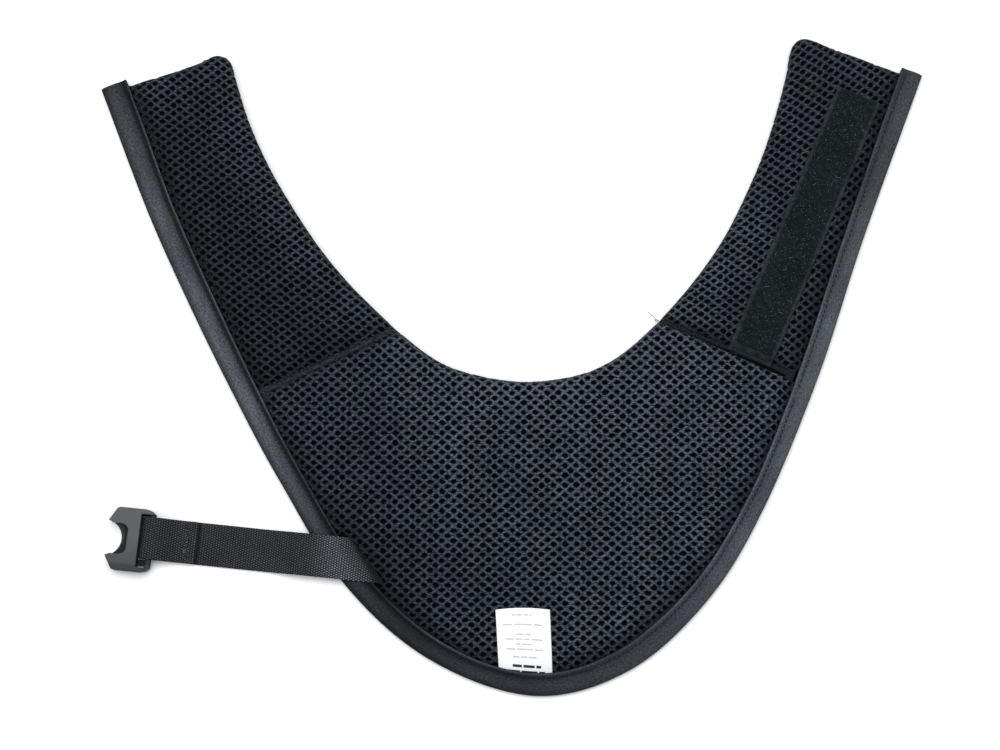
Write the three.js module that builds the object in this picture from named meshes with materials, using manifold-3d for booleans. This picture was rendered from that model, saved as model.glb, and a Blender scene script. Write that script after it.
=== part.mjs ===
// Radiation-protection neck and chest collar, lying flat on a table with its lining side up.
// Units are millimetres, +Z up. +X runs to the collar's right arm, +Y from the bib towards the arm ends.
import * as THREE from 'three';
import { mergeVertices } from 'three/addons/utils/BufferGeometryUtils.js';
import Module from 'manifold-3d';

const wasm = await Module();
wasm.setup();

// ---- plan outline of the flat collar, listed counter-clockwise ----
const OUTER_EDGE = [
  [-255.3, 169.6], [-225.3, 93.5], [-199.5, 37.3], [-171.6, -18.3], [-141.6, -73.2],
  [-101.0, -136.5], [-49.7, -181.1], [13.0, -202.4], [69.8, -187.1], [116.9, -145.4],
  [150.9, -91.4], [186.4, -9.1], [215.2, 74.7], [254.3, 178.5],
];
const RIGHT_END = [[254.3, 178.5], [233.8, 181.5], [196.9, 195.9], [180.9, 202.0]];
const NECK_EDGE = [
  [173.6, 198.4], [164.7, 159.2], [143.4, 102.3], [108.9, 46.1], [60.8, -0.3], [9.0, -13.6],
  [-46.8, -0.3], [-90.3, 36.7], [-134.4, 92.9], [-163.6, 149.6], [-174.0, 186.0],
];
const LEFT_END = [[-182.0, 191.2], [-193.9, 185.7], [-218.5, 177.4], [-238.8, 171.0], [-255.3, 169.6]];
const OUTER_STEPS = 44;
const NECK_STEPS = 30;
const END_STEPS = 3;
const SHORTEST_EDGE = 0.4;

// ---- fold lines between the bib and the arms, each from its left end to its right end ----
const LEFT_FOLD = { from: [-148.7, -19.3], to: [-71.3, 17.6] };
const RIGHT_FOLD = { from: [86.6, 25.0], to: [172.5, -10.7] };
const FOLD_AXIS_Z = 2.3;
const FOLD_THREAD_RADIUS = 0.4;

// ---- heights of the layers above the table ----
const BINDING_HEIGHT = 4.2;
const BINDING_WALL = 0.7;
const SHELL_BOTTOM = 1.0;
const SHELL_TOP = 1.7;
const LINING_BOTTOM = 2.0;
const LINING_MARGIN_TOP = 3.2;
const LINING_POCKET_TOP = 4.4;
const LINING_TOP = 8.9;
const CORE_PLY_THICKNESS = 0.9;
const LAYER_GAP = 0.3;

// ---- how far each layer stays inside the outline ----
const BINDING_WIDTH = 14.5;
const BINDING_FOLD_GAP = 2.0;
const BINDING_STITCH_INSET = 10.2;
const STITCH_WIDTH = 0.6;
const STITCH_HEIGHT = 0.4;
const COVER_MARGIN = 1.2;
const SHELL_FOLD_GAP = 0.8;
const MARGIN_FOLD_GAP = 1.2;
const PAD_FOLD_GAP = 3.3;
const PAD_ROUNDING = 4.6;
const POCKET_WALL = 3.0;
const CORE_CLEARANCE = 1.0;
const BEYOND = -12;

// ---- hook strip on the right arm and loop patch under the left arm ----
const HOOK_STRIP = { centre: [180.7, 86.8], length: 170, width: 28.4, angle: 67.0 };
const HOOK_STRIP_HEIGHT = 1.1;
const HOOK_STRIP_TOP = LINING_TOP + LAYER_GAP + HOOK_STRIP_HEIGHT;
const STRIP_STITCH_INSET = 2.0;
const LOOP_PATCH = { centre: [-172.0, 95.0], length: 120, width: 50, angle: 116.0 };

// ---- strap, its sewn root and the buckle ----
const WEBBING_WIDTH = 25.4;
const WEBBING_THICKNESS = 1.4;
const BAR_CENTRE = [-218.0, -108.7];
const STRAP_ANGLE = -5.9;
const STRAP_LENGTH = 160;
const STRAP_ROOT = [-89.9, -122.0];
const STRAP_ROOT_ANGLE = 126.0;
const STRAP_ROOT_Z = 5.9;
const BUCKLE_MID_Z = 4.5;
const BUCKLE_OFFSET = -2.0;

// ---- care label ----
const LABEL_ROOT = [7.5, -188.0];
const LABEL_ANGLE = -3.1;
const LABEL_WIDTH = 31.0;
const LABEL_LENGTH = 37.5;
const LABEL_THICKNESS = 0.4;

// ---- small geometry helpers ----
const radians = THREE.MathUtils.degToRad;

function points(pairs) {
  return pairs.map(([x, y]) => new THREE.Vector2(x, y));
}

function smooth(pairs, steps) {
  return new THREE.SplineCurve(points(pairs)).getSpacedPoints(steps);
}

// The collar's outline with every edge named after the side it belongs to.
function collarEdges() {
  const sides = [
    ['outer', smooth(OUTER_EDGE, OUTER_STEPS)],
    ['end', smooth(RIGHT_END, END_STEPS)],
    ['neck', smooth(NECK_EDGE, NECK_STEPS)],
    ['end', smooth(LEFT_END, END_STEPS)],
  ];
  const corners = [];
  for (const [side, run] of sides) {
    for (const corner of run) {
      const last = corners.at(-1);
      if (last && last.corner.distanceTo(corner) < 0.01) {
        last.side = side;
      } else {
        corners.push({ corner, side });
      }
    }
  }
  if (corners.at(-1).corner.distanceTo(corners[0].corner) < 0.01) {
    corners.pop();
  }
  return corners;
}

// The outline with its sides moved inwards by their own distances; a negative one moves out.
function collarLoop(insets) {
  const edges = collarEdges();
  const lines = edges.map(({ corner, side }, i) => {
    const next = edges[(i + 1) % edges.length].corner;
    const along = next.clone().sub(corner).normalize();
    const inward = new THREE.Vector2(-along.y, along.x);
    return { start: corner.clone().addScaledVector(inward, insets[side]), along };
  });
  return lines.map((line, i) => {
    const before = lines.at(i - 1);
    const cross = before.along.cross(line.along);
    if (Math.abs(cross) < 0.01) {
      return line.start.clone();
    }
    const reach = line.start.clone().sub(before.start).cross(line.along) / cross;
    return before.start.clone().addScaledVector(before.along, reach);
  });
}

// Keeps the part of a loop that lies at least `gap` beyond a line, on the side `keep` points to.
function clipLoop(loop, through, keep, gap) {
  const height = (p) => (p.x - through[0]) * keep[0] + (p.y - through[1]) * keep[1] - gap;
  const kept = [];
  loop.forEach((p, i) => {
    const next = loop[(i + 1) % loop.length];
    const here = height(p);
    const there = height(next);
    if (here >= 0) {
      kept.push(p);
    }
    if (here * there < 0) {
      kept.push(p.clone().lerp(next, here / (here - there)));
    }
  });
  return kept;
}

// Unit normal of a fold line, pointing from the bib into the arm.
function armSide(fold) {
  const along = new THREE.Vector2(fold.to[0] - fold.from[0], fold.to[1] - fold.from[1]).normalize();
  return [-along.y, along.x];
}

const PANEL_CUTS = {
  bib: [
    { through: [0, 27], keep: [0, -1], gapped: false },
    { through: LEFT_FOLD.from, keep: armSide(LEFT_FOLD).map((c) => -c), gapped: true },
    { through: RIGHT_FOLD.from, keep: armSide(RIGHT_FOLD).map((c) => -c), gapped: true },
  ],
  left_arm: [
    { through: [-20, 0], keep: [-1, 0], gapped: false },
    { through: LEFT_FOLD.from, keep: armSide(LEFT_FOLD), gapped: true },
  ],
  right_arm: [
    { through: [20, 0], keep: [1, 0], gapped: false },
    { through: RIGHT_FOLD.from, keep: armSide(RIGHT_FOLD), gapped: true },
  ],
};

function panelLoop(panel, outer, neck, end, foldGap) {
  const loop = PANEL_CUTS[panel].reduce(
    (kept, cut) => clipLoop(kept, cut.through, cut.keep, cut.gapped ? foldGap : 0),
    collarLoop({ outer, neck, end }),
  );
  return withoutShortEdges(loop, SHORTEST_EDGE);
}

function withoutShortEdges(loop, shortest) {
  return loop.filter((p, i) => p.distanceTo(loop.at(i - 1)) > shortest);
}

// ---- solids ----
function slabGeometry(loop, bottom, top) {
  const geometry = new THREE.ExtrudeGeometry(new THREE.Shape(loop), {
    depth: top - bottom,
    bevelEnabled: false,
  });
  return geometry.translate(0, 0, bottom);
}

function roundedSlabGeometry(loop, bottom, top, rounding, segments) {
  const geometry = new THREE.ExtrudeGeometry(new THREE.Shape(loop), {
    depth: top - bottom - 2 * rounding,
    bevelThickness: rounding,
    bevelSize: rounding,
    bevelOffset: -rounding,
    bevelSegments: segments,
  });
  return geometry.translate(0, 0, bottom + rounding);
}

function toSolid(geometry) {
  geometry.deleteAttribute('normal');
  geometry.deleteAttribute('uv');
  const welded = mergeVertices(geometry, 1e-4);
  const vertProperties = Float32Array.from(welded.attributes.position.array);
  const triVerts = Uint32Array.from(welded.index.array);
  return new wasm.Manifold(new wasm.Mesh({ numProp: 3, vertProperties, triVerts }));
}

function toGeometry(solid) {
  const mesh = solid.getMesh();
  const geometry = new THREE.BufferGeometry();
  geometry.setAttribute('position', new THREE.BufferAttribute(mesh.vertProperties, 3));
  geometry.setIndex(new THREE.BufferAttribute(mesh.triVerts, 1));
  return geometry;
}

function slab(loop, bottom, top) {
  return toSolid(slabGeometry(loop, bottom, top));
}

function boxSolid(size, centre, matrix = new THREE.Matrix4()) {
  const geometry = new THREE.BoxGeometry(...size).translate(...centre);
  return toSolid(geometry.applyMatrix4(matrix));
}

// A frame in plan: local X along `angle`, local Y to its left, origin at `at`.
function planFrame(at, angle, z = 0) {
  const turn = new THREE.Matrix4().makeRotationZ(radians(angle));
  return turn.setPosition(at[0], at[1], z);
}

function rectangle(length, width, rounding) {
  const x = length / 2;
  const y = width / 2;
  const cut = rounding * 0.3;
  const quarter = [[x - rounding, y], [x - cut, y - cut], [x, y - rounding]];
  const mirrored = (sx, sy, list) => list.map(([px, py]) => [px * sx, py * sy]);
  return points([
    ...mirrored(1, -1, quarter),
    ...mirrored(1, 1, [...quarter].reverse()),
    ...mirrored(-1, 1, quarter),
    ...mirrored(-1, -1, [...quarter].reverse()),
  ]);
}

// ---- materials ----
function material(color, roughness, metalness = 0) {
  return new THREE.MeshStandardMaterial({ color, roughness, metalness });
}

const spacerMesh = () => material(0x23272b, 0.85);
const coatedNylon = () => material(0x1f2226, 0.6);
const leadVinyl = () => material(0x5b5f63, 0.7);
const bindingTape = () => material(0x3a3d45, 0.8);
const blackThread = () => material(0x4a4d55, 0.6);
const hookTape = () => material(0x191b1e, 0.9);
const loopTape = () => material(0x202226, 0.95);
const webbing = () => material(0x2a2c33, 0.75);
const buckleNylon = () => material(0x6c6e6e, 0.55);
const labelSatin = () => material(0xe9eaec, 0.55);

// ---- cover layers ----
function shell(panel) {
  return slab(panelLoop(panel, COVER_MARGIN, 0, 0, SHELL_FOLD_GAP), SHELL_BOTTOM, SHELL_TOP);
}

function corePly(panel, level) {
  const bottom = LINING_BOTTOM + level * (CORE_PLY_THICKNESS + LAYER_GAP);
  const wall = POCKET_WALL + CORE_CLEARANCE;
  const outline = panelLoop(panel, BINDING_WIDTH + LAYER_GAP + wall, wall, wall, PAD_FOLD_GAP + wall);
  return slab(outline, bottom, bottom + CORE_PLY_THICKNESS);
}

// Padded mesh lining: a thick rounded pad, a thin margin held by the binding, a pocket for the core.
function lining(panel) {
  const padInset = BINDING_WIDTH + LAYER_GAP;
  const padOutline = withoutShortEdges(panelLoop(panel, padInset, 0, 0, PAD_FOLD_GAP), 1.2 * PAD_ROUNDING);
  const depthBelow = 2 * PAD_ROUNDING;
  const padGeometry = roundedSlabGeometry(
    padOutline, LINING_TOP - 2 * depthBelow, LINING_TOP, PAD_ROUNDING, 3);
  const margin = slab(
    panelLoop(panel, COVER_MARGIN, 0, 0, MARGIN_FOLD_GAP), LINING_BOTTOM, LINING_MARGIN_TOP);
  const pocket = slab(
    panelLoop(panel, padInset + POCKET_WALL, POCKET_WALL, POCKET_WALL, PAD_FOLD_GAP + POCKET_WALL),
    LINING_BOTTOM - 1, LINING_POCKET_TOP);
  const below = boxSolid([700, 600, 40], [0, 0, LINING_BOTTOM - 20]);
  return toSolid(padGeometry).add(margin).subtract(pocket).subtract(below);
}

// U-section tape folded round the outer edge.
function binding(panel) {
  const outside = toSolid(roundedSlabGeometry(
    panelLoop(panel, 0, BEYOND, 0, BINDING_FOLD_GAP), 0, BINDING_HEIGHT, BINDING_WALL, 2));
  const inside = slab(
    panelLoop(panel, BINDING_WALL + 0.2, 2 * BEYOND, BEYOND, 0), BINDING_WALL, BINDING_HEIGHT - BINDING_WALL);
  const beyondTape = slab(
    panelLoop(panel, BINDING_WIDTH, 2 * BEYOND, BEYOND, 0), -1, BINDING_HEIGHT + 1);
  return outside.subtract(inside).subtract(beyondTape);
}

// Row of stitches along the tape, on its upper flange.
function bindingThread(panel) {
  const bottom = BINDING_HEIGHT + LAYER_GAP;
  const top = bottom + STITCH_HEIGHT;
  const outside = slab(
    panelLoop(panel, BINDING_STITCH_INSET, BEYOND, 2, BINDING_FOLD_GAP + 1), bottom, top);
  const inside = slab(
    panelLoop(panel, BINDING_STITCH_INSET + STITCH_WIDTH, 2 * BEYOND, BEYOND, 0), bottom - 1, top + 1);
  return outside.subtract(inside);
}

// Lockstitch row that holds all the layers together on a fold line.
function foldThread(fold) {
  const span = new THREE.Vector2(fold.to[0] - fold.from[0], fold.to[1] - fold.from[1]);
  const rod = new THREE.CylinderGeometry(FOLD_THREAD_RADIUS, FOLD_THREAD_RADIUS, span.length(), 8);
  rod.rotateZ(Math.PI / 2 + span.angle());
  const middle = [(fold.from[0] + fold.to[0]) / 2, (fold.from[1] + fold.to[1]) / 2];
  return toSolid(rod.translate(middle[0], middle[1], FOLD_AXIS_Z));
}

// ---- hook strip and loop patch ----
function tapePiece(patch, bottom, height) {
  const outline = rectangle(patch.length, patch.width, 2);
  const geometry = slabGeometry(outline, bottom, bottom + height);
  return toSolid(geometry.applyMatrix4(planFrame(patch.centre, patch.angle)));
}

// A rectangular ring that runs `inset` inside a tape's edge.
function tapeRing(patch, inset, width, bottom, top) {
  const ring = new THREE.Shape(rectangle(patch.length - 2 * inset, patch.width - 2 * inset, 1));
  const hole = rectangle(patch.length - 2 * (inset + width), patch.width - 2 * (inset + width), 1);
  ring.holes.push(new THREE.Path(hole.reverse()));
  const geometry = new THREE.ExtrudeGeometry(ring, { depth: top - bottom, bevelEnabled: false });
  geometry.translate(0, 0, bottom);
  return toSolid(geometry.applyMatrix4(planFrame(patch.centre, patch.angle)));
}

// The hook strip has a shallow channel pressed into it by its own stitches.
function hookStrip() {
  const channel = tapeRing(HOOK_STRIP, STRIP_STITCH_INSET - LAYER_GAP, STITCH_WIDTH + 2 * LAYER_GAP,
    HOOK_STRIP_TOP - STITCH_HEIGHT - LAYER_GAP, HOOK_STRIP_TOP + 1);
  return tapePiece(HOOK_STRIP, HOOK_STRIP_TOP - HOOK_STRIP_HEIGHT, HOOK_STRIP_HEIGHT).subtract(channel);
}

function hookStripThread() {
  const bottom = HOOK_STRIP_TOP - STITCH_HEIGHT;
  return tapeRing(HOOK_STRIP, STRIP_STITCH_INSET, STITCH_WIDTH, bottom, HOOK_STRIP_TOP);
}

// ---- strap ----
// Side view of the webbing as a centre line: sewn root, over the binding, along the table,
// round the buckle's bar and back on top of itself as a short tail.
function strapCentreLine() {
  const run = points([
    [STRAP_LENGTH, STRAP_ROOT_Z], [100, STRAP_ROOT_Z], [93, STRAP_ROOT_Z], [88, 5.3], [82, 3.6],
    [76, 1.8], [70, 1.0], [64, 0.9], [30, 0.9], [14, 0.9], [7, 1.05],
  ]);
  const wrap = [];
  const radius = 3.0;
  for (let i = 0; i <= 10; i += 1) {
    const turn = -Math.PI / 2 - (i * Math.PI) / 10;
    wrap.push(new THREE.Vector2(radius * Math.cos(turn), BUCKLE_MID_Z + radius * Math.sin(turn)));
  }
  const tail = points([[4, 7.2], [8, 6.1], [13, 4.2], [17, 2.95], [20, 2.6], [27, 2.6]]);
  return [...run, ...wrap, ...tail];
}

// Gives a centre line its thickness and closes it into a ribbon section.
function ribbonLoop(line, thickness) {
  const side = (p, i, sign) => {
    const before = line[Math.max(i - 1, 0)];
    const after = line[Math.min(i + 1, line.length - 1)];
    const along = after.clone().sub(before).normalize();
    return new THREE.Vector2(p.x - (sign * along.y * thickness) / 2, p.y + (sign * along.x * thickness) / 2);
  };
  const upper = line.map((p, i) => side(p, i, 1));
  const lower = line.map((p, i) => side(p, i, -1)).reverse();
  return [...upper, ...lower];
}

// Sets a side-view section upright and places it: section x runs from the bar to the root.
function alongStrap(loop, width) {
  const geometry = new THREE.ExtrudeGeometry(new THREE.Shape(loop), { depth: width, bevelEnabled: false });
  geometry.translate(0, 0, -width / 2).rotateX(Math.PI / 2);
  return toSolid(geometry.applyMatrix4(planFrame(BAR_CENTRE, STRAP_ANGLE)));
}

// Everything on the bib side of the root line, starting `gap` from it.
function insideRoot(gap) {
  return boxSolid([120, 60, 30], [0, -30 - gap, STRAP_ROOT_Z], planFrame(STRAP_ROOT, STRAP_ROOT_ANGLE));
}

function strapWebbing() {
  const ribbon = ribbonLoop(strapCentreLine(), WEBBING_THICKNESS);
  return alongStrap(ribbon, WEBBING_WIDTH).subtract(insideRoot(-0.3));
}

function strapSection(from, to, growth) {
  const half = WEBBING_THICKNESS / 2 + growth;
  const section = points([
    [from, STRAP_ROOT_Z - half], [to, STRAP_ROOT_Z - half],
    [to, STRAP_ROOT_Z + half], [from, STRAP_ROOT_Z + half],
  ]);
  return alongStrap(section, WEBBING_WIDTH + 2 * growth);
}

function strapAnchor() {
  return strapSection(100, STRAP_LENGTH - 10, 0).intersect(insideRoot(0.9));
}

// Room in the bib's lining for the sewn end and for the strap to swing up at the root.
function strapPassage() {
  const slot = strapSection(100, STRAP_LENGTH - 9.7, LAYER_GAP);
  const notch = boxSolid([44, 8.7, 12], [0, 2.55, 9.5], planFrame(STRAP_ROOT, STRAP_ROOT_ANGLE));
  return slot.add(notch);
}

// Zigzag bar tack through the tail and the run.
function strapBartack() {
  const teeth = 6;
  const reach = 9;
  const zigzag = [];
  for (let i = 0; i <= teeth; i += 1) {
    zigzag.push(new THREE.Vector2(22 + 1.2 * (i % 2 ? 1 : -1), -reach + (2 * reach * i) / teeth));
  }
  const geometry = slabGeometry(ribbonLoop(zigzag, 0.8), 3.6, 4.0);
  return toSolid(geometry.applyMatrix4(planFrame(BAR_CENTRE, STRAP_ANGLE)));
}

// ---- buckle socket: local X points out of its mouth, origin on the web bar ----
function buckleOutline() {
  const half = [
    [26, 10.5], [21.4, 18.4], [19.6, 19.0], [4.0, 19.0], [0.4, 18.0], [-1.6, 15.6], [-2.0, 13.5],
  ];
  const mirrored = half.map(([x, y]) => [x, -y]).reverse();
  return points([...half, ...mirrored]);
}

function buckleSocket() {
  const frame = planFrame(BAR_CENTRE, STRAP_ANGLE + 180).multiply(
    new THREE.Matrix4().makeTranslation(0, -BUCKLE_OFFSET, BUCKLE_MID_Z));
  const solid = (geometry) => toSolid(geometry.applyMatrix4(frame));
  const body = solid(roundedSlabGeometry(buckleOutline(), -4.5, 4.5, 1.0, 2));
  const cavity = solid(new THREE.BoxGeometry(24, 33.2, 5.8).translate(20.2, 0, 0));
  const webSlot = solid(new THREE.BoxGeometry(10.2, 32, 20).translate(1.5, 0, 0));
  const bar = solid(new THREE.CylinderGeometry(2.0, 2.0, 33, 16));
  const crescent = solid(new THREE.CylinderGeometry(10.9, 10.9, 20, 28).rotateX(Math.PI / 2)
    .translate(28.9, 0, 0));
  const topNotch = solid(slabGeometry(points([
    [13.5, -6.0], [14.5, -8.0], [17.5, -9.2], [30, -9.2], [30, 9.2], [17.5, 9.2], [14.5, 8.0], [13.5, 6.0],
  ]), 0, 10));
  return body.subtract(webSlot).add(bar).subtract(cavity).subtract(crescent).subtract(topNotch);
}

// ---- care label: sewn into the binding seam at its lower edge, lying on the lining ----
function careLabel() {
  const line = points([[0.2, 5.0], [2.0, 8.4], [3.4, 9.35], [5.4, 9.5], [LABEL_LENGTH, 9.5]]);
  const geometry = new THREE.ExtrudeGeometry(
    new THREE.Shape(ribbonLoop(line, LABEL_THICKNESS)), { depth: LABEL_WIDTH, bevelEnabled: false });
  geometry.translate(0, 0, -LABEL_WIDTH / 2).rotateX(Math.PI / 2);
  return toSolid(geometry.applyMatrix4(planFrame(LABEL_ROOT, LABEL_ANGLE + 90)));
}

// ---- assembly ----
const collar = new THREE.Group();
collar.name = 'collar';

function addPiece(name, solid, surface) {
  const mesh = new THREE.Mesh(toGeometry(solid), surface);
  mesh.name = name;
  collar.add(mesh);
}

for (const panel of Object.keys(PANEL_CUTS)) {
  addPiece(`shell_${panel}`, shell(panel), coatedNylon());
  addPiece(`core_outer_ply_${panel}`, corePly(panel, 0), leadVinyl());
  addPiece(`core_inner_ply_${panel}`, corePly(panel, 1), leadVinyl());
  const pad = lining(panel);
  addPiece(`lining_${panel}`, panel === 'bib' ? pad.subtract(strapPassage()) : pad, spacerMesh());
  addPiece(`binding_${panel}`, binding(panel), bindingTape());
  addPiece(`binding_thread_${panel}`, bindingThread(panel), blackThread());
}
addPiece('left_fold_thread', foldThread(LEFT_FOLD), blackThread());
addPiece('right_fold_thread', foldThread(RIGHT_FOLD), blackThread());

addPiece('hook_strip', hookStrip(), hookTape());
addPiece('hook_strip_thread', hookStripThread(), blackThread());
addPiece('loop_patch', tapePiece(LOOP_PATCH, 0, SHELL_BOTTOM - LAYER_GAP), loopTape());

addPiece('strap_anchor', strapAnchor(), webbing());
addPiece('strap_webbing', strapWebbing(), webbing());
addPiece('strap_bartack', strapBartack(), blackThread());
addPiece('buckle_socket', buckleSocket(), buckleNylon());
addPiece('care_label', careLabel(), labelSatin());

// The origin is the bottom centre of the whole collar.
const extent = new THREE.Box3().setFromObject(collar);
const middle = extent.getCenter(new THREE.Vector3());
for (const mesh of collar.children) {
  mesh.geometry.translate(-middle.x, -middle.y, -extent.min.z);
}

export default collar;
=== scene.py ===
import math

import bmesh
import bpy
import numpy as np
from mathutils import Matrix


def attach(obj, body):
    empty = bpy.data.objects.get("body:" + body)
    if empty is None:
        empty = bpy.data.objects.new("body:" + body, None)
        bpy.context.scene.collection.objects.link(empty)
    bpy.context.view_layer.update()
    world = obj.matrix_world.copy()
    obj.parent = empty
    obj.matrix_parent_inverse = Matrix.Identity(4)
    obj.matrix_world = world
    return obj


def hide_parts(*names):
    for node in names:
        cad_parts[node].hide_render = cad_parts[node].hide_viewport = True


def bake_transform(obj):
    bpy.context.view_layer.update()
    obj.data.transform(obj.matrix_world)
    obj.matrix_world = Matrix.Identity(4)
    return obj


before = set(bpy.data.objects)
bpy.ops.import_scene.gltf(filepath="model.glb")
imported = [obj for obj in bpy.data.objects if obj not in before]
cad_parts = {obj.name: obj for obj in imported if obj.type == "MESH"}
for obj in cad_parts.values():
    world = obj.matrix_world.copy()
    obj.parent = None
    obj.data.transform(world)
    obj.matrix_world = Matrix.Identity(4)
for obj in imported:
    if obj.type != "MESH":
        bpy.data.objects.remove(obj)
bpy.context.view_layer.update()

MM = 0.001
SEED = 7
FULL_TURN = 6.28  # upper end of the random turns and phases, in radians
rng = np.random.default_rng(SEED)
SPREAD = np.linspace(-1, 1, 5)  # places along a short stitch or fibre

# ---------------------------------------------------------------- camera
AIM = np.array([-7.4, -8.6, 0.0])
CAMERA_DISTANCE = 1300.0
CAMERA_TILT = math.radians(8.0)
SENSOR_WIDTH, LENS, CLIP_END = 36.0, 76.7, 20.0


def make_camera():
    data = bpy.data.cameras.new("camera")
    data.sensor_width = SENSOR_WIDTH
    data.lens = LENS
    data.clip_end = CLIP_END
    camera = bpy.data.objects.new("camera", data)
    bpy.context.scene.collection.objects.link(camera)
    back = CAMERA_DISTANCE * np.array([0, -math.sin(CAMERA_TILT), math.cos(CAMERA_TILT)])
    camera.location = (AIM + back) * MM
    camera.rotation_euler = (CAMERA_TILT, 0, 0)
    bpy.context.scene.camera = camera


make_camera()

# ---------------------------------------------------------------- plan of the collar, in mm
SHIFT = np.array([0.5, 0.158])
OUTER_EDGE = [
    (-255.3, 169.6), (-225.3, 93.5), (-199.5, 37.3), (-171.6, -18.3), (-141.6, -73.2),
    (-101.0, -136.5), (-49.7, -181.1), (13.0, -202.4), (69.8, -187.1), (116.9, -145.4),
    (150.9, -91.4), (186.4, -9.1), (215.2, 74.7), (254.3, 178.5)]
LEFT_END = [
    (-255.3, 169.6), (-240.0, 171.6), (-218.5, 177.4), (-203.0, 182.6), (-195.0, 185.6),
    (-189.5, 188.8), (-184.0, 190.6), (-178.6, 189.6), (-175.0, 186.0), (-172.6, 178.0)]
NECK_EDGE = [
    (-163.6, 149.6), (-150.9, 121.2), (-134.4, 92.9), (-115.1, 64.7), (-90.3, 36.7), (-46.8, -0.3),
    (-20.7, -9.9), (9.0, -13.6), (41.3, -9.0), (60.8, -0.3), (83.5, 18.2), (108.9, 46.1),
    (128.8, 74.1), (143.4, 102.3), (155.5, 130.6), (164.7, 159.2)]
RIGHT_END = [
    (170.2, 180.0), (172.4, 192.0), (175.2, 198.6), (180.4, 201.6), (186.8, 200.2), (196.9, 195.9),
    (215.3, 188.9), (233.8, 181.9), (243.0, 180.0), (254.3, 178.5)]
LEFT_FOLD = np.array([(-148.7, -19.3), (-71.3, 17.6)]) + SHIFT
RIGHT_FOLD = np.array([(86.6, 25.0), (172.5, -10.7)]) + SHIFT
FOLDS = {"left_arm": LEFT_FOLD, "right_arm": RIGHT_FOLD}
PANELS = ("bib", "left_arm", "right_arm")
BINDING_WIDTH = 14.5


def resample(points, step):
    """Points at about even steps along a polyline, its two ends among them."""
    lengths = np.r_[0, np.cumsum(np.linalg.norm(np.diff(points, axis=0), axis=1))]
    count = max(2, int(round(lengths[-1] / step)) + 1)
    at = np.linspace(0, lengths[-1], count)
    return np.stack([np.interp(at, lengths, points[:, k]) for k in range(points.shape[1])], 1)


def smooth_path(pairs, step, knot=0.5):
    """Catmull-Rom curve through the pairs, resampled; knot 0 is uniform, 0.5 centripetal."""
    p = np.array(pairs, float)
    p = np.vstack([2 * p[0] - p[1], p, 2 * p[-1] - p[-2]])
    out = []
    for i in range(1, len(p) - 2):
        a, b, c, d = p[i - 1:i + 3]
        t0 = 0.0
        t1 = t0 + np.linalg.norm(b - a) ** knot
        t2 = t1 + np.linalg.norm(c - b) ** knot
        t3 = t2 + np.linalg.norm(d - c) ** knot
        t = np.linspace(t1, t2, 24, endpoint=False)[:, None]
        ab = (t1 - t) / (t1 - t0) * a + (t - t0) / (t1 - t0) * b
        bc = (t2 - t) / (t2 - t1) * b + (t - t1) / (t2 - t1) * c
        cd = (t3 - t) / (t3 - t2) * c + (t - t2) / (t3 - t2) * d
        abc = (t2 - t) / (t2 - t0) * ab + (t - t0) / (t2 - t0) * bc
        bcd = (t3 - t) / (t3 - t1) * bc + (t - t1) / (t3 - t1) * cd
        out.append((t2 - t) / (t2 - t1) * abc + (t - t1) / (t2 - t1) * bcd)
    out.append(p[-2:-1])
    return resample(np.vstack(out), step)


def left_normals(path):
    along = np.gradient(path, axis=0)
    along /= np.linalg.norm(along, axis=1)[:, None]
    return np.stack([-along[:, 1], along[:, 0]], 1)


OUTER = smooth_path(OUTER_EDGE, step=1.0, knot=0.0) + SHIFT
FREE = smooth_path(LEFT_END + NECK_EDGE + RIGHT_END, step=1.5) + SHIFT
RIDGE = OUTER + BINDING_WIDTH * left_normals(OUTER)


class Edge:
    """Signed distance to an open polyline, positive on one side, with its foot and the length to it."""

    BLOCK = 20000  # points looked up at a time

    def __init__(self, path, side):
        self.path = path
        self.step = np.diff(path, axis=0)
        self.len2 = (self.step ** 2).sum(1)
        self.start = np.r_[0, np.cumsum(np.sqrt(self.len2))]
        self.norm2 = (path ** 2).sum(1)
        self.side = side

    def __call__(self, p):
        nearest = np.empty(len(p), int)
        for lo in range(0, len(p), self.BLOCK):
            block = slice(lo, lo + self.BLOCK)
            nearest[block] = (self.norm2 - 2 * p[block] @ self.path.T).argmin(1)
        dist, foot, along = np.full(len(p), np.inf), np.zeros((len(p), 2)), np.zeros(len(p))
        for k in (np.clip(nearest - 1, 0, None), np.clip(nearest, 0, len(self.step) - 1)):
            rel = p - self.path[k]
            t = np.clip((rel * self.step[k]).sum(1) / self.len2[k], 0, 1)
            gap = rel - t[:, None] * self.step[k]
            size = np.linalg.norm(gap, axis=1)
            cross = self.step[k, 0] * gap[:, 1] - self.step[k, 1] * gap[:, 0]
            better = size < np.abs(dist)
            dist = np.where(better, size * np.where(cross < 0, -1, 1) * self.side, dist)
            foot = np.where(better[:, None], p - gap, foot)
            along = np.where(better, self.start[k] + t * np.sqrt(self.len2[k]), along)
        return dist, foot, along


to_ridge = Edge(RIDGE[::2], 1)
to_free = Edge(FREE, -1)


def arm_normal(fold):
    along = (fold[1] - fold[0]) / np.linalg.norm(fold[1] - fold[0])
    return np.array([-along[1], along[0]])


def above_fold(p, fold):
    """Distance from a fold line, positive in the arm."""
    return (p - fold[0]) @ arm_normal(fold)


def ease(x):
    x = np.clip(x, 0, 1)
    return x * x * (3 - 2 * x)


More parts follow.
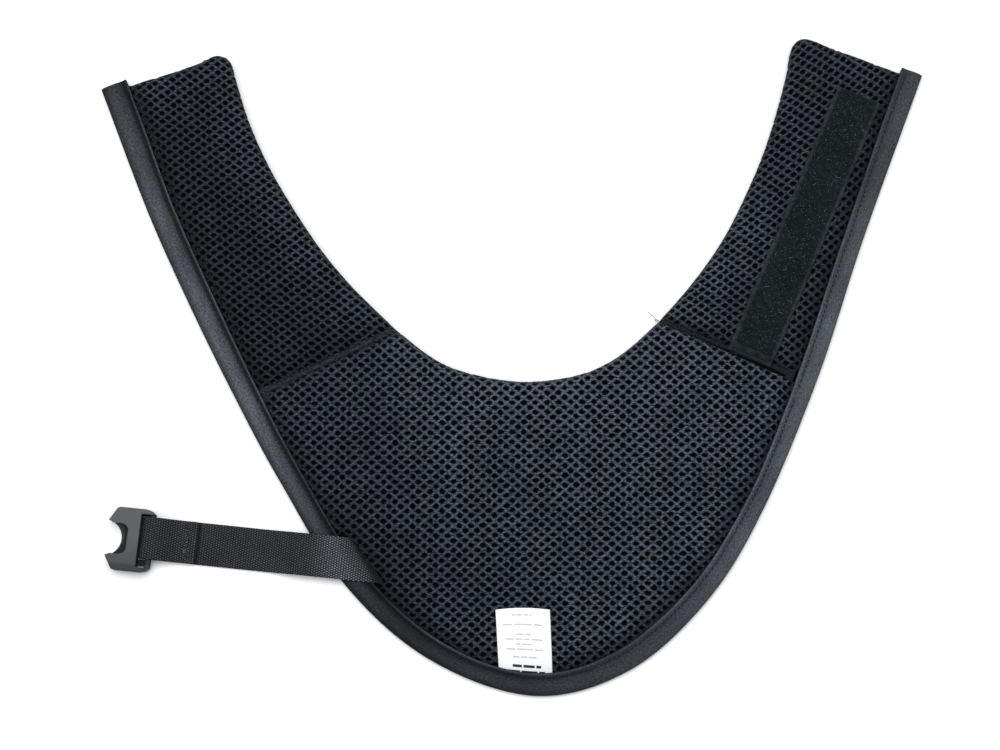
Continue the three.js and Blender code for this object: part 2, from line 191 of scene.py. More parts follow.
# ---------------------------------------------------------------- the padded surface
SEAM_Z = 3.3  # top of the lining at the tape
PAD_Z = 8.2
PAD_RISE = 13.0  # width over which the pad rises from the tape
BIB_FOLD_RISE = 4.2  # the same beside a fold
ARM_FOLD_RISE = {"left_arm": 12.0, "right_arm": 8.5}
EDGE_ROUND = 4.3
FLOOR_Z = 1.75  # lowest that the lining goes
CORE_TOP = 4.1
SLOPE_STEP = 0.35  # over which the pad's slope is taken
STRAP_ROOT = np.array([-89.4, -121.8])
ROOT_ALONG = np.array([-0.588, 0.809])
ROOT_OUT = np.array([-0.809, -0.588])
ROOT_DEPTH = 5.2
WAVES = [(rng.uniform(0.03, 0.11) * np.array([math.cos(a), math.sin(a)]), rng.uniform(0, FULL_TURN))
         for a in rng.uniform(0, FULL_TURN, 9)]
NARROWING = [  # x of the tape's inner lip, and how much narrower than its section the tape is there
    (-227, -2.1), (-212, -1.3), (-196, -1.2), (-179, -0.85), (-161, -0.25), (-142, 0.4), (-123, 0.7),
    (-80, 1.2), (-51, 1.7), (-20, 2.2), (15, 1.1), (50, 0.9), (79, 0.8), (105, 1.7), (127, 2.2),
    (145, 3.2), (161, 2.7), (176, 2.0), (189, 2.1), (201, 2.6), (214, 2.1), (229, 1.1)]


def narrowing(p):
    """How much narrower the tape is than its section, in mm."""
    return np.interp(p[:, 0], *zip(*NARROWING))


def root_window(p):
    """1 where the strap enters the seam, 0 elsewhere."""
    rel = p - STRAP_ROOT
    return ease(1.9 - np.abs(rel @ ROOT_ALONG - 1.0) / 15.0) * ease(2.2 - np.abs(rel @ ROOT_OUT) / 16.0)


def undulation(p):
    """Slow random waves, between -1 and 1."""
    return sum(np.sin(p @ k + phase) for k, phase in WAVES) / len(WAVES)


def wrap_free_edge(p, z, free_d, foot):
    """Rolls what is near the free edge over it and down towards the shell."""
    turn = np.clip((EDGE_ROUND - free_d) / EDGE_ROUND, 0, math.pi / 2)
    below = np.clip(EDGE_ROUND - free_d - EDGE_ROUND * math.pi / 2, 0, None)
    far = np.abs(free_d) > 1e-6
    inward = np.where(far[:, None], (p - foot) / np.where(far, free_d, 1)[:, None], 0)
    rolled = free_d < EDGE_ROUND
    flat = np.where(rolled[:, None], foot + inward * (EDGE_ROUND * (1 - np.sin(turn)))[:, None], p)
    drop = EDGE_ROUND * (1 - np.cos(turn)) + below
    return np.c_[flat, np.where(rolled, np.maximum(z - drop, FLOOR_Z), z)]


def pad_surface(p, panel):
    """Maps points of the flat lining to their places on the pad."""
    free_d, foot, _ = to_free(p)
    ridge_d, _, ridge_s = to_ridge(p)
    window = root_window(p)
    ridge_d = ridge_d + narrowing(p) - ROOT_DEPTH * window
    rise = 1 - (1 - np.clip(ridge_d / PAD_RISE, 0, 1)) ** 2.3
    puckers = 0.25 * np.sin(ridge_s / 3.7) * np.exp(-np.clip(ridge_d, 0, 99) / 5.0)
    if panel == "bib":
        for fold in FOLDS.values():
            near = np.clip((-above_fold(p, fold) - 0.8) / BIB_FOLD_RISE, 0, 1)
            rise = rise * np.sqrt(np.clip(1 - (1 - near) ** 2.6, 0, 1))
    else:
        near = np.clip((above_fold(p, FOLDS[panel]) - 0.6) / ARM_FOLD_RISE[panel], 0, 1)
        rise = rise * (1 - (1 - near) ** 1.9)
    z = SEAM_Z + 2.6 * window + (PAD_Z - SEAM_Z - 2.2 * window) * rise + puckers
    z = z + (0.55 * undulation(p) + 0.25 * undulation(p * 2.7 + 40)) * rise
    z = np.where(ridge_d < 0, z + 0.8 * ridge_d * (1 - window), z)
    return wrap_free_edge(p, z, free_d, foot)


def lifted(p, lift, panel):
    """Points raised off the pad by lift, in mm, along its normal."""
    at = pad_surface(p, panel)
    du = pad_surface(p + [SLOPE_STEP, 0], panel) - at
    dv = pad_surface(p + [0, SLOPE_STEP], panel) - at
    normal = np.cross(du, dv)
    size = np.linalg.norm(normal, axis=1)
    normal = np.where(size[:, None] > 1e-6, normal / np.where(size > 1e-6, size, 1)[:, None], [0, 0, 1])
    return at + normal * lift[:, None]


# ---------------------------------------------------------------- mesh building
def add_layers(mesh, uv, values, smooth=True):
    """Smooth shading, a UV map given for each vertex, and values that the materials read."""
    if smooth:
        mesh.polygons.foreach_set("use_smooth", [True] * len(mesh.polygons))
    corner = np.empty(len(mesh.loops), int)
    mesh.loops.foreach_get("vertex_index", corner)
    layer = mesh.uv_layers.new(name="UVMap")
    layer.data.foreach_set("uv", uv[corner].astype(np.float32).ravel())
    for key, value in values.items():
        mesh.attributes.new(key, "FLOAT", "POINT").data.foreach_set("value", value.astype(np.float32))


def new_mesh(name, verts_mm, faces, material, uv, values=None, smooth=True):
    mesh = bpy.data.meshes.new(name)
    mesh.from_pydata((verts_mm * MM).tolist(), [], faces)
    mesh.validate()
    add_layers(mesh, uv, values or {}, smooth)
    mesh.materials.append(material)
    thing = bpy.data.objects.new(name, mesh)
    bpy.context.scene.collection.objects.link(thing)
    return thing


def grid_faces(rows, columns, wrap=False):
    faces = []
    last = columns if wrap else columns - 1
    for i in range(rows - 1):
        for j in range(last):
            k = (j + 1) % columns
            faces.append((i * columns + j, i * columns + k, (i + 1) * columns + k, (i + 1) * columns + j))
    return faces


def sheet_faces(rows, columns, flip=False):
    """Faces of a closed sheet: a grid, the same grid below it, and the rim between them."""
    n = rows * columns
    faces = grid_faces(rows, columns)
    faces += [tuple(i + n for i in f)[::-1] for f in faces]
    rim = [i * columns for i in range(rows)] + [n - columns + j for j in range(1, columns)]
    rim += [i * columns + columns - 1 for i in range(rows - 2, -1, -1)] + list(range(columns - 2, 0, -1))
    faces += [(i, j, j + n, i + n) for i, j in zip(rim, rim[1:] + rim[:1])]
    return [f[::-1] for f in faces] if flip else faces


def tube(path, radius, sides=6, squash=1.0):
    """Vertices and faces of a closed tube along a 3-D path with tapered ends."""
    along = np.gradient(path, axis=0)
    along /= np.linalg.norm(along, axis=1)[:, None] + 1e-12
    up = np.where(np.abs(along[:, 2:3]) > 0.9, [[1.0, 0, 0]], [[0, 0, 1.0]])
    across = np.cross(along, up)
    across /= np.linalg.norm(across, axis=1)[:, None]
    rise = np.cross(across, along)
    n = len(path)
    size = np.full(n, float(radius))
    size[[0, -1]] *= 0.45
    angle = np.arange(sides) / sides * 2 * math.pi
    ring = (np.cos(angle)[None, :, None] * across[:, None]
            + squash * np.sin(angle)[None, :, None] * rise[:, None])
    verts = (path[:, None] + ring * size[:, None, None]).reshape(-1, 3)
    faces = [f[::-1] for f in grid_faces(n, sides, wrap=True)]
    return verts, faces + [tuple(range(sides)), tuple(range((n - 1) * sides, n * sides))[::-1]]


def mesh_of(name, parts, material, values=None, smooth=True):
    """One mesh from many small ones, each given as its vertices and faces."""
    faces, base = [], 0
    for part, part_faces in parts:
        faces += [tuple(i + base for i in face) for face in part_faces]
        base += len(part)
    verts = np.vstack([part for part, _ in parts])
    return new_mesh(name, verts, faces, material, verts[:, :2] * MM, values, smooth)


def clip_polygon(loop, through, keep, gap):
    """The part of a closed outline past a line by more than the gap, on the side that keep points to."""
    height = (loop - through) @ keep - gap
    out = []
    for i in range(len(loop)):
        j = (i + 1) % len(loop)
        if height[i] >= 0:
            out.append(loop[i])
        if height[i] * height[j] < 0:
            out.append(loop[i] + (loop[j] - loop[i]) * height[i] / (height[i] - height[j]))
    return np.array(out)


PANEL_CUTS = {  # a point on each cut, the side that is kept, and whether the gap at a fold applies
    "bib": [((0, 27), (0, -1), False), (LEFT_FOLD[0], -arm_normal(LEFT_FOLD), True),
            (RIGHT_FOLD[0], -arm_normal(RIGHT_FOLD), True)],
    "left_arm": [((-20, 0), (-1, 0), False), (LEFT_FOLD[0], arm_normal(LEFT_FOLD), True)],
    "right_arm": [((20, 0), (1, 0), False), (RIGHT_FOLD[0], arm_normal(RIGHT_FOLD), True)],
}


def panel_loop(panel, outer_inset, free_inset, fold_gap):
    """Plan outline of a panel, drawn in from the collar's edges and from the folds."""
    outer = resample(OUTER + outer_inset * left_normals(OUTER), 5.0)
    free = resample(FREE - free_inset * left_normals(FREE), 4.0)[::-1]
    loop = np.vstack([outer, free])
    for through, keep, gapped in PANEL_CUTS[panel]:
        loop = clip_polygon(loop, np.array(through, float), np.array(keep, float), fold_gap if gapped else 0)
    return loop[np.linalg.norm(loop - np.roll(loop, 1, axis=0), axis=1) > 0.3]


def gridded(loop, pitch):
    """Sheet that fills a plan outline, cut into cells of about the pitch, and the edges of its border."""
    bm = bmesh.new()
    bm.faces.new([bm.verts.new((x, y, 0)) for x, y in loop])
    lo, hi = loop.min(0), loop.max(0)
    for axis, normal in enumerate(((1, 0, 0), (0, 1, 0))):
        for at in np.arange(math.floor(lo[axis] / pitch) * pitch + pitch, hi[axis], pitch):
            geometry = bm.verts[:] + bm.edges[:] + bm.faces[:]
            bmesh.ops.bisect_plane(bm, geom=geometry, plane_co=at * np.array(normal), plane_no=normal)
    bmesh.ops.remove_doubles(bm, verts=bm.verts, dist=0.02)
    bm.verts.index_update()
    verts = np.array([v.co[:2] for v in bm.verts])
    faces = [tuple(v.index for v in f.verts) for f in bm.faces]
    border = []
    for edge in bm.edges:
        if len(edge.link_faces) == 1:
            a, b = (v.index for v in edge.verts)
            order = [v.index for v in edge.link_faces[0].verts]
            border.append((a, b) if order[(order.index(a) + 1) % len(order)] == b else (b, a))
    bm.free()
    return verts, faces, border


# ---------------------------------------------------------------- materials
def linear(rgb):
    """Levels of 255 as a linear colour."""
    c = np.array(rgb, float) / 255
    c = np.where(c <= 0.04045, c / 12.92, ((c + 0.055) / 1.055) ** 2.4)
    return (*c.tolist(), 1.0)


class Shading:
    """A material's node tree, with short calls for the nodes it needs."""

    def __init__(self, name, roughness, specular=0.5):
        self.material = bpy.data.materials.new(name)
        self.material.use_nodes = True
        self.tree = self.material.node_tree
        self.shader = self.tree.nodes["Principled BSDF"]
        self.shader.inputs["Roughness"].default_value = roughness
        self.shader.inputs["Specular IOR Level"].default_value = specular
        self.uv = self.tree.nodes.new("ShaderNodeUVMap").outputs[0]

    def feed(self, socket, value):
        if isinstance(value, bpy.types.NodeSocket):
            self.tree.links.new(value, socket)
        else:
            socket.default_value = value

    def noise(self, size_mm, detail=2.0, stretch=None):
        """Noise of about the size given; stretch is the factor along each axis and the turn in degrees."""
        node = self.tree.nodes.new("ShaderNodeTexNoise")
        node.inputs["Scale"].default_value = 1000.0 / size_mm
        node.inputs["Detail"].default_value = detail
        at = self.uv
        if stretch:
            mapping = self.tree.nodes.new("ShaderNodeMapping")
            mapping.inputs["Rotation"].default_value = (0, 0, math.radians(stretch[2]))
            mapping.inputs["Scale"].default_value = (1 / stretch[0], 1 / stretch[1], 1)
            self.tree.links.new(at, mapping.inputs["Vector"])
            at = mapping.outputs["Vector"]
        self.tree.links.new(at, node.inputs["Vector"])
        return node.outputs["Fac"]

    def waves(self, size_mm, axis):
        """Bands of about the size given, for woven threads."""
        node = self.tree.nodes.new("ShaderNodeTexWave")
        node.wave_type = "BANDS"
        node.bands_direction = axis
        node.inputs["Scale"].default_value = 1000.0 / size_mm * 0.314
        node.inputs["Distortion"].default_value = 0.6
        node.inputs["Detail Scale"].default_value = 3.0
        self.tree.links.new(self.uv, node.inputs["Vector"])
        return node.outputs["Fac"]

    def attribute(self, name):
        node = self.tree.nodes.new("ShaderNodeAttribute")
        node.attribute_name = name
        return node.outputs["Fac"]

    def math(self, kind, a, b):
        node = self.tree.nodes.new("ShaderNodeMath")
        node.operation = kind
        self.feed(node.inputs[0], a)
        self.feed(node.inputs[1], b)
        return node.outputs[0]

    def times(self, a, b):
        return self.math("MULTIPLY", a, b)

    def plus(self, a, b):
        return self.math("ADD", a, b)

    def span(self, value, low, high, to_low=0.0, to_high=1.0):
        node = self.tree.nodes.new("ShaderNodeMapRange")
        self.feed(node.inputs["Value"], value)
        for key, number in (("From Min", low), ("From Max", high), ("To Min", to_low), ("To Max", to_high)):
            node.inputs[key].default_value = number
        return node.outputs["Result"]

    def colours(self, tone, dark, light):
        """Base colour from dark to light, both in levels of 255, as the tone goes from 0 to 1."""
        node = self.tree.nodes.new("ShaderNodeMix")
        node.data_type = "RGBA"
        self.feed(node.inputs["Factor"], tone)
        node.inputs[6].default_value, node.inputs[7].default_value = linear(dark), linear(light)
        self.tree.links.new(node.outputs[2], self.shader.inputs["Base Color"])

    def bump(self, height, depth_mm):
        node = self.tree.nodes.new("ShaderNodeBump")
        node.inputs["Distance"].default_value = depth_mm * MM
        node.inputs["Strength"].default_value = 1.0
        self.feed(node.inputs["Height"], height)
        self.tree.links.new(node.outputs["Normal"], self.shader.inputs["Normal"])

    def sheen(self, weight, roughness, tint):
        self.shader.inputs["Sheen Weight"].default_value = weight
        self.shader.inputs["Sheen Roughness"].default_value = roughness
        self.shader.inputs["Sheen Tint"].default_value = tint


def net_material():
    """Knitted yarn: streaks both ways, fibres, slow patches and dust flecks, with painted shade towards the
    holes and the lining's painted light and shade.
    """
    s = Shading("spacer_mesh", roughness=0.7, specular=0.12)
    shade = s.attribute("shade")
    yarn = s.math("MAXIMUM", s.noise(0.9, 2.0, (2.2, 0.8, 38.0)), s.noise(0.9, 2.0, (2.2, 0.8, -38.0)))
    fibres = s.noise(0.5, 3.0)
    patches = s.noise(30.0, 2.0)
    lift = s.times(shade, s.span(yarn, 0.45, 0.72, 0.05, 1.7))
    lift = s.times(lift, s.span(patches, 0.3, 0.7, 0.78, 1.22))
    lift = s.times(lift, s.span(fibres, 0.3, 0.7, 0.4, 1.6))
    flecks = s.times(s.span(s.noise(1.1, 1.0), 0.62, 0.72, 0.0, 0.5), s.math("SQRT", shade, 0.0))
    s.colours(s.plus(lift, s.times(flecks, 0.85)), dark=(3, 5, 8), light=(84, 92, 103))
    s.bump(s.plus(yarn, s.times(fibres, 0.5)), 0.16)
    s.sheen(0.03, 0.5, (0.8, 0.86, 1.0, 1.0))
    return s.material


def backing_material():
    """Nearly black, as seen through the holes of the mesh: the back layer darkened as painted shade deep in
    the holes.
    """
    s = Shading("mesh_backing", roughness=0.9, specular=0.03)
    s.colours(s.noise(0.9), (2, 3, 6), (7, 9, 14))
    s.bump(s.noise(0.6), 0.2)
    return s.material


def cloth_material(name, dark, light, weave, roughness, sheen=0.1, bump=0.08, shade=False, specular=0.15):
    """Woven cloth: threads both ways, fibres and slow patches."""
    s = Shading(name, roughness, specular)
    along, across = (s.waves(size, axis) for size, axis in zip(weave, "XY"))
    threads = s.times(along, across)
    patches = s.noise(22.0, 3.0)
    fibres = s.noise(0.45, 2.0)
    tone = s.plus(s.span(threads, 0, 1, 0.1, 0.55), s.span(patches, 0.3, 0.7, 0.0, 0.28))
    tone = s.plus(tone, s.span(fibres, 0.35, 0.7, -0.12, 0.22))
    if shade:
        tone = s.times(tone, s.attribute("shade"))
    s.colours(tone, dark, light)
    s.bump(s.plus(threads, s.times(fibres, 0.7)), bump)
    s.sheen(sheen, 0.45, (0.85, 0.9, 1.0, 1.0))
    return s.material


WEAVE_ALONG, WEAVE_ACROSS = 1.5, 1.46  # step of the webbing's knots, in mm


def webbing_material():
    """Plain-woven tape: columns of knots across it, every other column half a step along."""
    s = Shading("webbing", roughness=0.6, specular=0.06)
    parts = s.tree.nodes.new("ShaderNodeSeparateXYZ")
    s.tree.links.new(s.uv, parts.inputs[0])
    along = s.times(parts.outputs[0], 1 / (WEAVE_ALONG * MM))
    column = s.math("FLOOR", along, 0.0)
    ridge = s.math("SINE", s.times(s.math("SUBTRACT", along, column), math.pi), 0.0)
    across = s.plus(s.times(parts.outputs[1], 1 / (WEAVE_ACROSS * MM)),
                    s.times(column, 0.5))
    wave = s.math("COSINE", s.times(across, 2 * math.pi), 0.0)
    knot = s.math("POWER", s.times(s.span(wave, -1, 1), ridge), 1.5)
    knot = s.times(knot, s.span(s.noise(1.4, 3.0), 0.3, 0.7, 0.45, 1.25))
    tone = s.plus(s.times(knot, 0.34), s.span(s.noise(0.6, 2.0), 0.3, 0.7, 0.0, 0.04))
    tone = s.times(tone, s.span(s.noise(20.0, 2.0), 0.3, 0.7, 0.85, 1.15))
    # the shade values carry the strap's painted highlight, painted shade and painted shadow
    s.colours(s.times(tone, s.attribute("shade")), (9, 10, 12), (124, 127, 134))
    s.bump(knot, 0.12)
    return s.material


def tape_material():
    """Finely woven tape with an uneven grain along it."""
    s = Shading("binding_tape", roughness=0.62, specular=0.05)
    along, across = s.waves(0.9, "X"), s.waves(0.8, "Y")
    threads = s.times(along, across)
    grain = s.noise(1.3, 3.0)
    fibres = s.noise(0.6, 3.0, (2.5, 1.0, 0.0))
    tone = s.plus(s.span(threads, 0, 1, 0.28, 0.5), s.span(grain, 0.3, 0.7, -0.12, 0.22))
    tone = s.plus(tone, s.span(fibres, 0.3, 0.7, -0.16, 0.24))
    tone = s.times(tone, s.span(s.noise(26.0, 2.0), 0.3, 0.7, 0.86, 1.14))
    # the shade values carry the tape's painted light and shade
    s.colours(s.times(tone, s.attribute("shade")), (9, 10, 13), (124, 130, 138))
    s.bump(s.plus(threads, s.times(grain, 0.8)), 0.14)
    return s.material


def grainy_material(name, dark, light, grain_mm, roughness, bump_mm, specular=0.5, shade=False, even=0.0):
    """Speckled material; even, from 0 to 1, is how little the speckle changes its tone."""
    s = Shading(name, roughness, specular)
    grain = s.noise(grain_mm, 3.0)
    patches = s.noise(grain_mm * 30, 2.0)
    tone = s.plus(s.span(grain, 0.3, 0.7, even, even + 0.6 * (1 - even)),
                  s.span(patches, 0.3, 0.7, 0.0, 0.4 * (1 - even)))
    if shade:
        tone = s.times(tone, s.attribute("shade"))
    s.colours(tone, dark, light)
    s.bump(grain, bump_mm)
    return s.material


# cloth: dark, light, step of the weave both ways in mm, roughness, sheen, bump in mm
# grainy: dark, light, size of the grain in mm, roughness, bump in mm, specular
NET = net_material()
BACKING = backing_material()
SHELL = cloth_material("coated_nylon", (20, 22, 26), (58, 61, 67), (0.55, 0.5), 0.55)
TAPE = tape_material()
THREAD = grainy_material("thread", (8, 9, 12), (34, 36, 41), 0.25, 0.6, 0.05, 0.12)
LINT = grainy_material("lint_thread", (58, 62, 68), (118, 122, 129), 0.25, 0.6, 0.03)
TACK = grainy_material("tack_thread", (6, 7, 9), (172, 174, 178), 1.3, 0.5, 0.05, 0.1, shade=True)
HOOK_BASE = cloth_material("hook_tape", (5, 7, 8), (68, 82, 85), (0.9, 0.8), 0.7, 0.0, 0.08, shade=True,
                           specular=0.04)
HOOKS = grainy_material("hook_bristles", (5, 7, 8), (96, 107, 112), 0.3, 0.45, 0.02, 0.12,
                        shade=True, even=0.5)
PILE = cloth_material("loop_tape", (14, 15, 17), (50, 52, 56), (0.8, 0.8), 0.85, 0.3, 0.1)
WEBBING = webbing_material()
# its shade values are the buckle's painted light and shade
PLASTIC = grainy_material("buckle_plastic", (10, 11, 12), (92, 94, 95), 0.25, 0.5, 0.02, 0.12,
                          shade=True, even=0.8)
SATIN = cloth_material("label_satin", (222, 223, 225), (249, 250, 252), (0.35, 0.3), 0.45, 0.1, 0.02)
PRINT = grainy_material("label_print", (168, 170, 175), (196, 198, 203), 0.4, 0.6, 0.01, 0.2)
PRINT_BOLD = grainy_material("label_print_bold", (30, 31, 35), (48, 49, 53), 0.4, 0.6, 0.01, 0.2)
VINYL = grainy_material("lead_vinyl", (16, 17, 19), (32, 34, 37), 0.8, 0.6, 0.03, 0.1)

# ---------------------------------------------------------------- spacer-mesh lining
HOLE_HALF = (1.62, 1.24)
WALL_DEPTH = 1.7
RIM_POINTS = 12  # round a hole, three on each side of its lattice cell
RINGS = 4  # from the cell's border down the wall of the hole
LATTICE_REACH = 240
WELD = 0.02
LEFT_ROWS_TILT = -2.2  # degrees
RIGHT_ROWS_AT, RIGHT_ROWS_TILT = [5, 100, 195], [-1.6, 7.8, 12.6]  # y, and the tilt of the rows there
LATTICES = {
    "bib": dict(pitch=7.05, row=2.96, middle=(0.0, -80.0)),
    "left_arm": dict(pitch=7.14, row=2.7, middle=(-180.0, 90.0)),
    "right_arm": dict(pitch=7.1, row=2.8, middle=(175.0, 90.0)),
}


def lattice_to_plan(uv, panel):
    """Where a point of the straight lattice lies on the flat lining."""
    cx, cy = LATTICES[panel]["middle"]
    u, v = uv[:, 0], uv[:, 1]
    if panel == "bib":
        x, y = cx + u, cy + v + 0.8 * np.sin(u / 60.0)
    elif panel == "left_arm":
        x, y = cx + u - 0.06 * v, cy + v + math.tan(math.radians(LEFT_ROWS_TILT)) * u
    else:
        slope = np.interp(cy + v, RIGHT_ROWS_AT, np.tan(np.radians(RIGHT_ROWS_TILT)))
        x, y = cx + u + 0.055 * v, cy + v + slope * u
    x = x + 0.16 * np.sin(u * 1.9 + v * 0.7) + 0.12 * np.sin(v * 2.3 + 1.0)
    y = y + 0.12 * np.sin(u * 1.3 - v * 1.1 + 2.0) + 0.1 * np.sin(u * 2.9)
    return np.c_[x, y]


def clamp_to_panel(p, panel, margin=1.1):
    """Moves what lies past a panel's folds back to them."""
    if panel == "bib":
        for fold, less, wider in ((LEFT_FOLD, 0.6, 0.0), (RIGHT_FOLD, 0.0, 2.6)):
            outward = (p - fold[0]) @ (fold[1] - fold[0]) / ((fold[1] - fold[0]) ** 2).sum()
            over = np.clip(above_fold(p, fold) + margin - less + wider * ease(outward), 0, None)
            p = p - over[:, None] * arm_normal(fold)
        return p
    fold = FOLDS[panel]
    under = np.clip(margin - above_fold(p, fold) + (0.9 if panel == "right_arm" else -0.7), 0, None)
    return p + under[:, None] * arm_normal(fold)


def in_panel(p, panel, slack):
    """Which points of the flat lining belong to a panel, with slack past its folds."""
    left, right = (above_fold(p, fold) for fold in FOLDS.values())
    if panel == "bib":
        return (left < slack) & (right < slack) & (p[:, 1] < 60)
    if panel == "left_arm":
        return (left > -slack) & (p[:, 0] < -20)
    return (right > -slack) & (p[:, 0] > 20)


def lining_painted_light(p, panel, free_d, ridge_d):
    """Painted light and shade: lighter in the middle of the bib and at the neck, darker along sewn edges and
    in the arms.
    """
    sewn = ridge_d + narrowing(p) - ROOT_DEPTH * root_window(p)
    tone = (0.34 + 0.66 * ease(sewn / PAD_RISE)) * (1 + 0.10 * ease(1 - free_d / 30.0))
    x, y = p.T
    if panel == "bib":
        # painted light towards the neck, painted shade towards the bottom left and under the chin
        neck = ease((y + 80) / 60) * (1 - 0.6 * ease(np.abs(x + 20) / 110))
        chin = ease((-y - 85) / 50) * (1 - ease((x + 20) / 70))
        level = 0.64 - 0.31 * ease((-x - 30) / 55) + 0.24 * neck - 0.17 * chin + 0.05 * ease((x - 10) / 60)
        near = ease(-above_fold(p, LEFT_FOLD) / 9.0) * ease(-above_fold(p, RIGHT_FOLD) / 5.0)
        return tone * level * (0.7 + 0.3 * near)
    if panel == "left_arm":
        level = 0.18 + 0.24 * ease((42 - free_d) / 42)
        return tone * level * (0.85 + 0.15 * ease(above_fold(p, LEFT_FOLD) / 22.0))
    level = 0.36 + 0.28 * ease((40 - free_d) / 40) * ease((150 - y) / 90)
    return tone * level * (0.35 + 0.65 * ease(above_fold(p, RIGHT_FOLD) / 10.0))


def make_lining(panel):
    """Spacer mesh: lattice cells round holes, each hole with a wall that goes down into the pad."""
    pitch, row = LATTICES[panel]["pitch"], LATTICES[panel]["row"]
    across, up = int(LATTICE_REACH / pitch), int(LATTICE_REACH / row)
    j, i = np.meshgrid(np.arange(-up, up + 1), np.arange(-across, across + 1))
    centre = np.stack([(i + 0.5 * (j % 2)) * pitch, j * row], -1).reshape(-1, 2)
    plan = lattice_to_plan(centre, panel)
    keep = in_panel(plan, panel, 0.5)
    centre, plan = centre[keep], plan[keep]
    window = root_window(plan)
    inside = to_ridge(plan)[0] + narrowing(plan)
    keep = (inside - ROOT_DEPTH * window > -3.2 + 2.9 * window) & (to_free(plan)[0] > -4.4)
    centre = centre[keep]
    n = len(centre)
    corner = np.array([(pitch / 2, 0), (0, row), (-pitch / 2, 0), (0, -row)])
    side = np.roll(corner, -1, axis=0) - corner
    rim = np.vstack([corner[k] + side[k] * t for k in range(4) for t in (0, 1 / 3, 2 / 3)])
    turn = np.arctan2(rim[:, 1] / row, rim[:, 0] / (pitch / 2))
    size = rng.normal(1.0, 0.07, (n, 1, 1))
    bend = 1 + 0.10 * np.cos(2 * turn[None, :, None] + rng.uniform(0, FULL_TURN, (n, 1, 1)))
    hole = np.stack([HOLE_HALF[0] * np.cos(turn), HOLE_HALF[1] * np.sin(turn)], 1)[None] * size * bend
    offset = rng.normal(0, 0.10, (n, 1, 2))
    outer = np.broadcast_to(rim[None], (n, RIM_POINTS, 2))
    middle = outer * 0.55 + hole * 0.45 + offset * 0.5
    rings = np.stack([outer, middle, hole + offset, hole * 1.1 + offset], 1) + centre[:, None, None]
    at_corner = np.tile([-0.22, 0.08, 0.08], 4) * np.tile([1, 1, 1, 0.2, 1, 1], 2)
    height = np.stack([at_corner, *(np.full(RIM_POINTS, v) for v in (0.16, -0.3, -WALL_DEPTH))])
    # painted light and shade: lightest on the land between holes, darker down each hole's wall to black at
    # its foot
    shade = np.stack([np.tile([1.0, 1.35, 1.35], 4), *(np.full(RIM_POINTS, v) for v in (0.62, 0.14, 0.0))])
    height, shade = (np.broadcast_to(v[None], (n, RINGS, RIM_POINTS)).reshape(-1) for v in (height, shade))
    flat = rings.reshape(-1, 2)
    key = np.round(flat / WELD).astype(np.int64)  # neighbouring cells share the points of their border
    is_outer = np.tile(np.repeat([True, False, False, False], RIM_POINTS), n)
    code = np.where(is_outer, key[:, 0] * 1000003 + key[:, 1], -np.arange(len(key)) - 10 ** 13)
    _, first, inverse = np.unique(code, return_index=True, return_inverse=True)
    flat, height, shade = flat[first], height[first], shade[first]
    index = (np.arange(n)[:, None, None] * RINGS + np.arange(RINGS - 1)[None, :, None]) * RIM_POINTS
    a = index + np.arange(RIM_POINTS)
    b = index + (np.arange(RIM_POINTS) + 1) % RIM_POINTS
    quads = np.stack([a, b, b + RIM_POINTS, a + RIM_POINTS], -1).reshape(-1, 4)
    quads = inverse.reshape(-1)[quads]
    plan = clamp_to_panel(lattice_to_plan(flat, panel), panel)
    verts = lifted(plan, height, panel)
    verts[:, 2] = np.maximum(verts[:, 2], FLOOR_Z)
    # the lining's painted light and shade
    tone = lining_painted_light(plan, panel, to_free(plan)[0], to_ridge(plan)[0])
    lining = new_mesh("lining_" + panel, verts, quads.tolist(), NET, uv=plan * MM,
                      values={"shade": shade * tone})
    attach(lining, panel)
    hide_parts("lining_" + panel)


def make_backing(panel):
    """The mesh's dark back sheet, seen through its holes; its near-black is painted shade."""
    loop = panel_loop(panel, outer_inset=11.0, free_inset=-3.6, fold_gap=0.0)
    flat, faces, _ = gridded(loop, pitch=4.0)
    verts = lifted(flat, np.full(len(flat), -WALL_DEPTH - 0.1), panel)
    over_core = (to_ridge(flat)[0] > 3.6) & (to_free(flat)[0] > 2.6)
    verts[:, 2] = np.maximum(verts[:, 2], np.where(over_core, CORE_TOP + 0.08, FLOOR_Z - 0.05))
    backing = new_mesh("lining_back_" + panel, verts, faces, BACKING, uv=flat * MM)
    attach(backing, panel)


for panel in PANELS:
    make_lining(panel)
    make_backing(panel)


# ---------------------------------------------------------------- edge tape
SECTION = np.array([  # inset from the outer edge, height, tone as painted light and shade; from the inner lip over the top and round
    (14.2, 3.70, 0.3), (14.65, 4.15, 0.7), (14.35, 4.80, 1.5), (13.75, 5.0, 1.6), (13.1, 4.66, 0.95),
    (12.4, 4.28, 0.72), (11.2, 4.24, 0.66), (10.4, 4.26, 0.75), (9.4, 4.42, 0.95), (8.0, 4.58, 1.05),
    (6.2, 4.66, 1.08), (4.4, 4.60, 1.05), (2.8, 4.38, 1.0), (1.4, 3.88, 0.85), (0.4, 3.1, 0.62),
    (0.0, 2.2, 0.6), (0.35, 1.2, 0.5), (1.4, 0.4, 0.6), (3.4, 0.1, 0.6), (7.0, 0.1, 0.7),
    (10.8, 0.34, 0.5), (12.6, 0.14, 0.7), (14.2, 0.2, 0.9), (14.5, 0.55, 0.6), (14.0, 0.85, 0.3),
    (8.0, 0.9, 0.3), (2.4, 1.0, 0.3), (1.6, 2.2, 0.3), (2.4, 3.3, 0.3), (8.0, 3.75, 0.3)])
STITCH_INSET = 11.2
STITCH_PITCH = 3.3
STITCH_HALF = 1.25
TAPE_STEP = 0.8
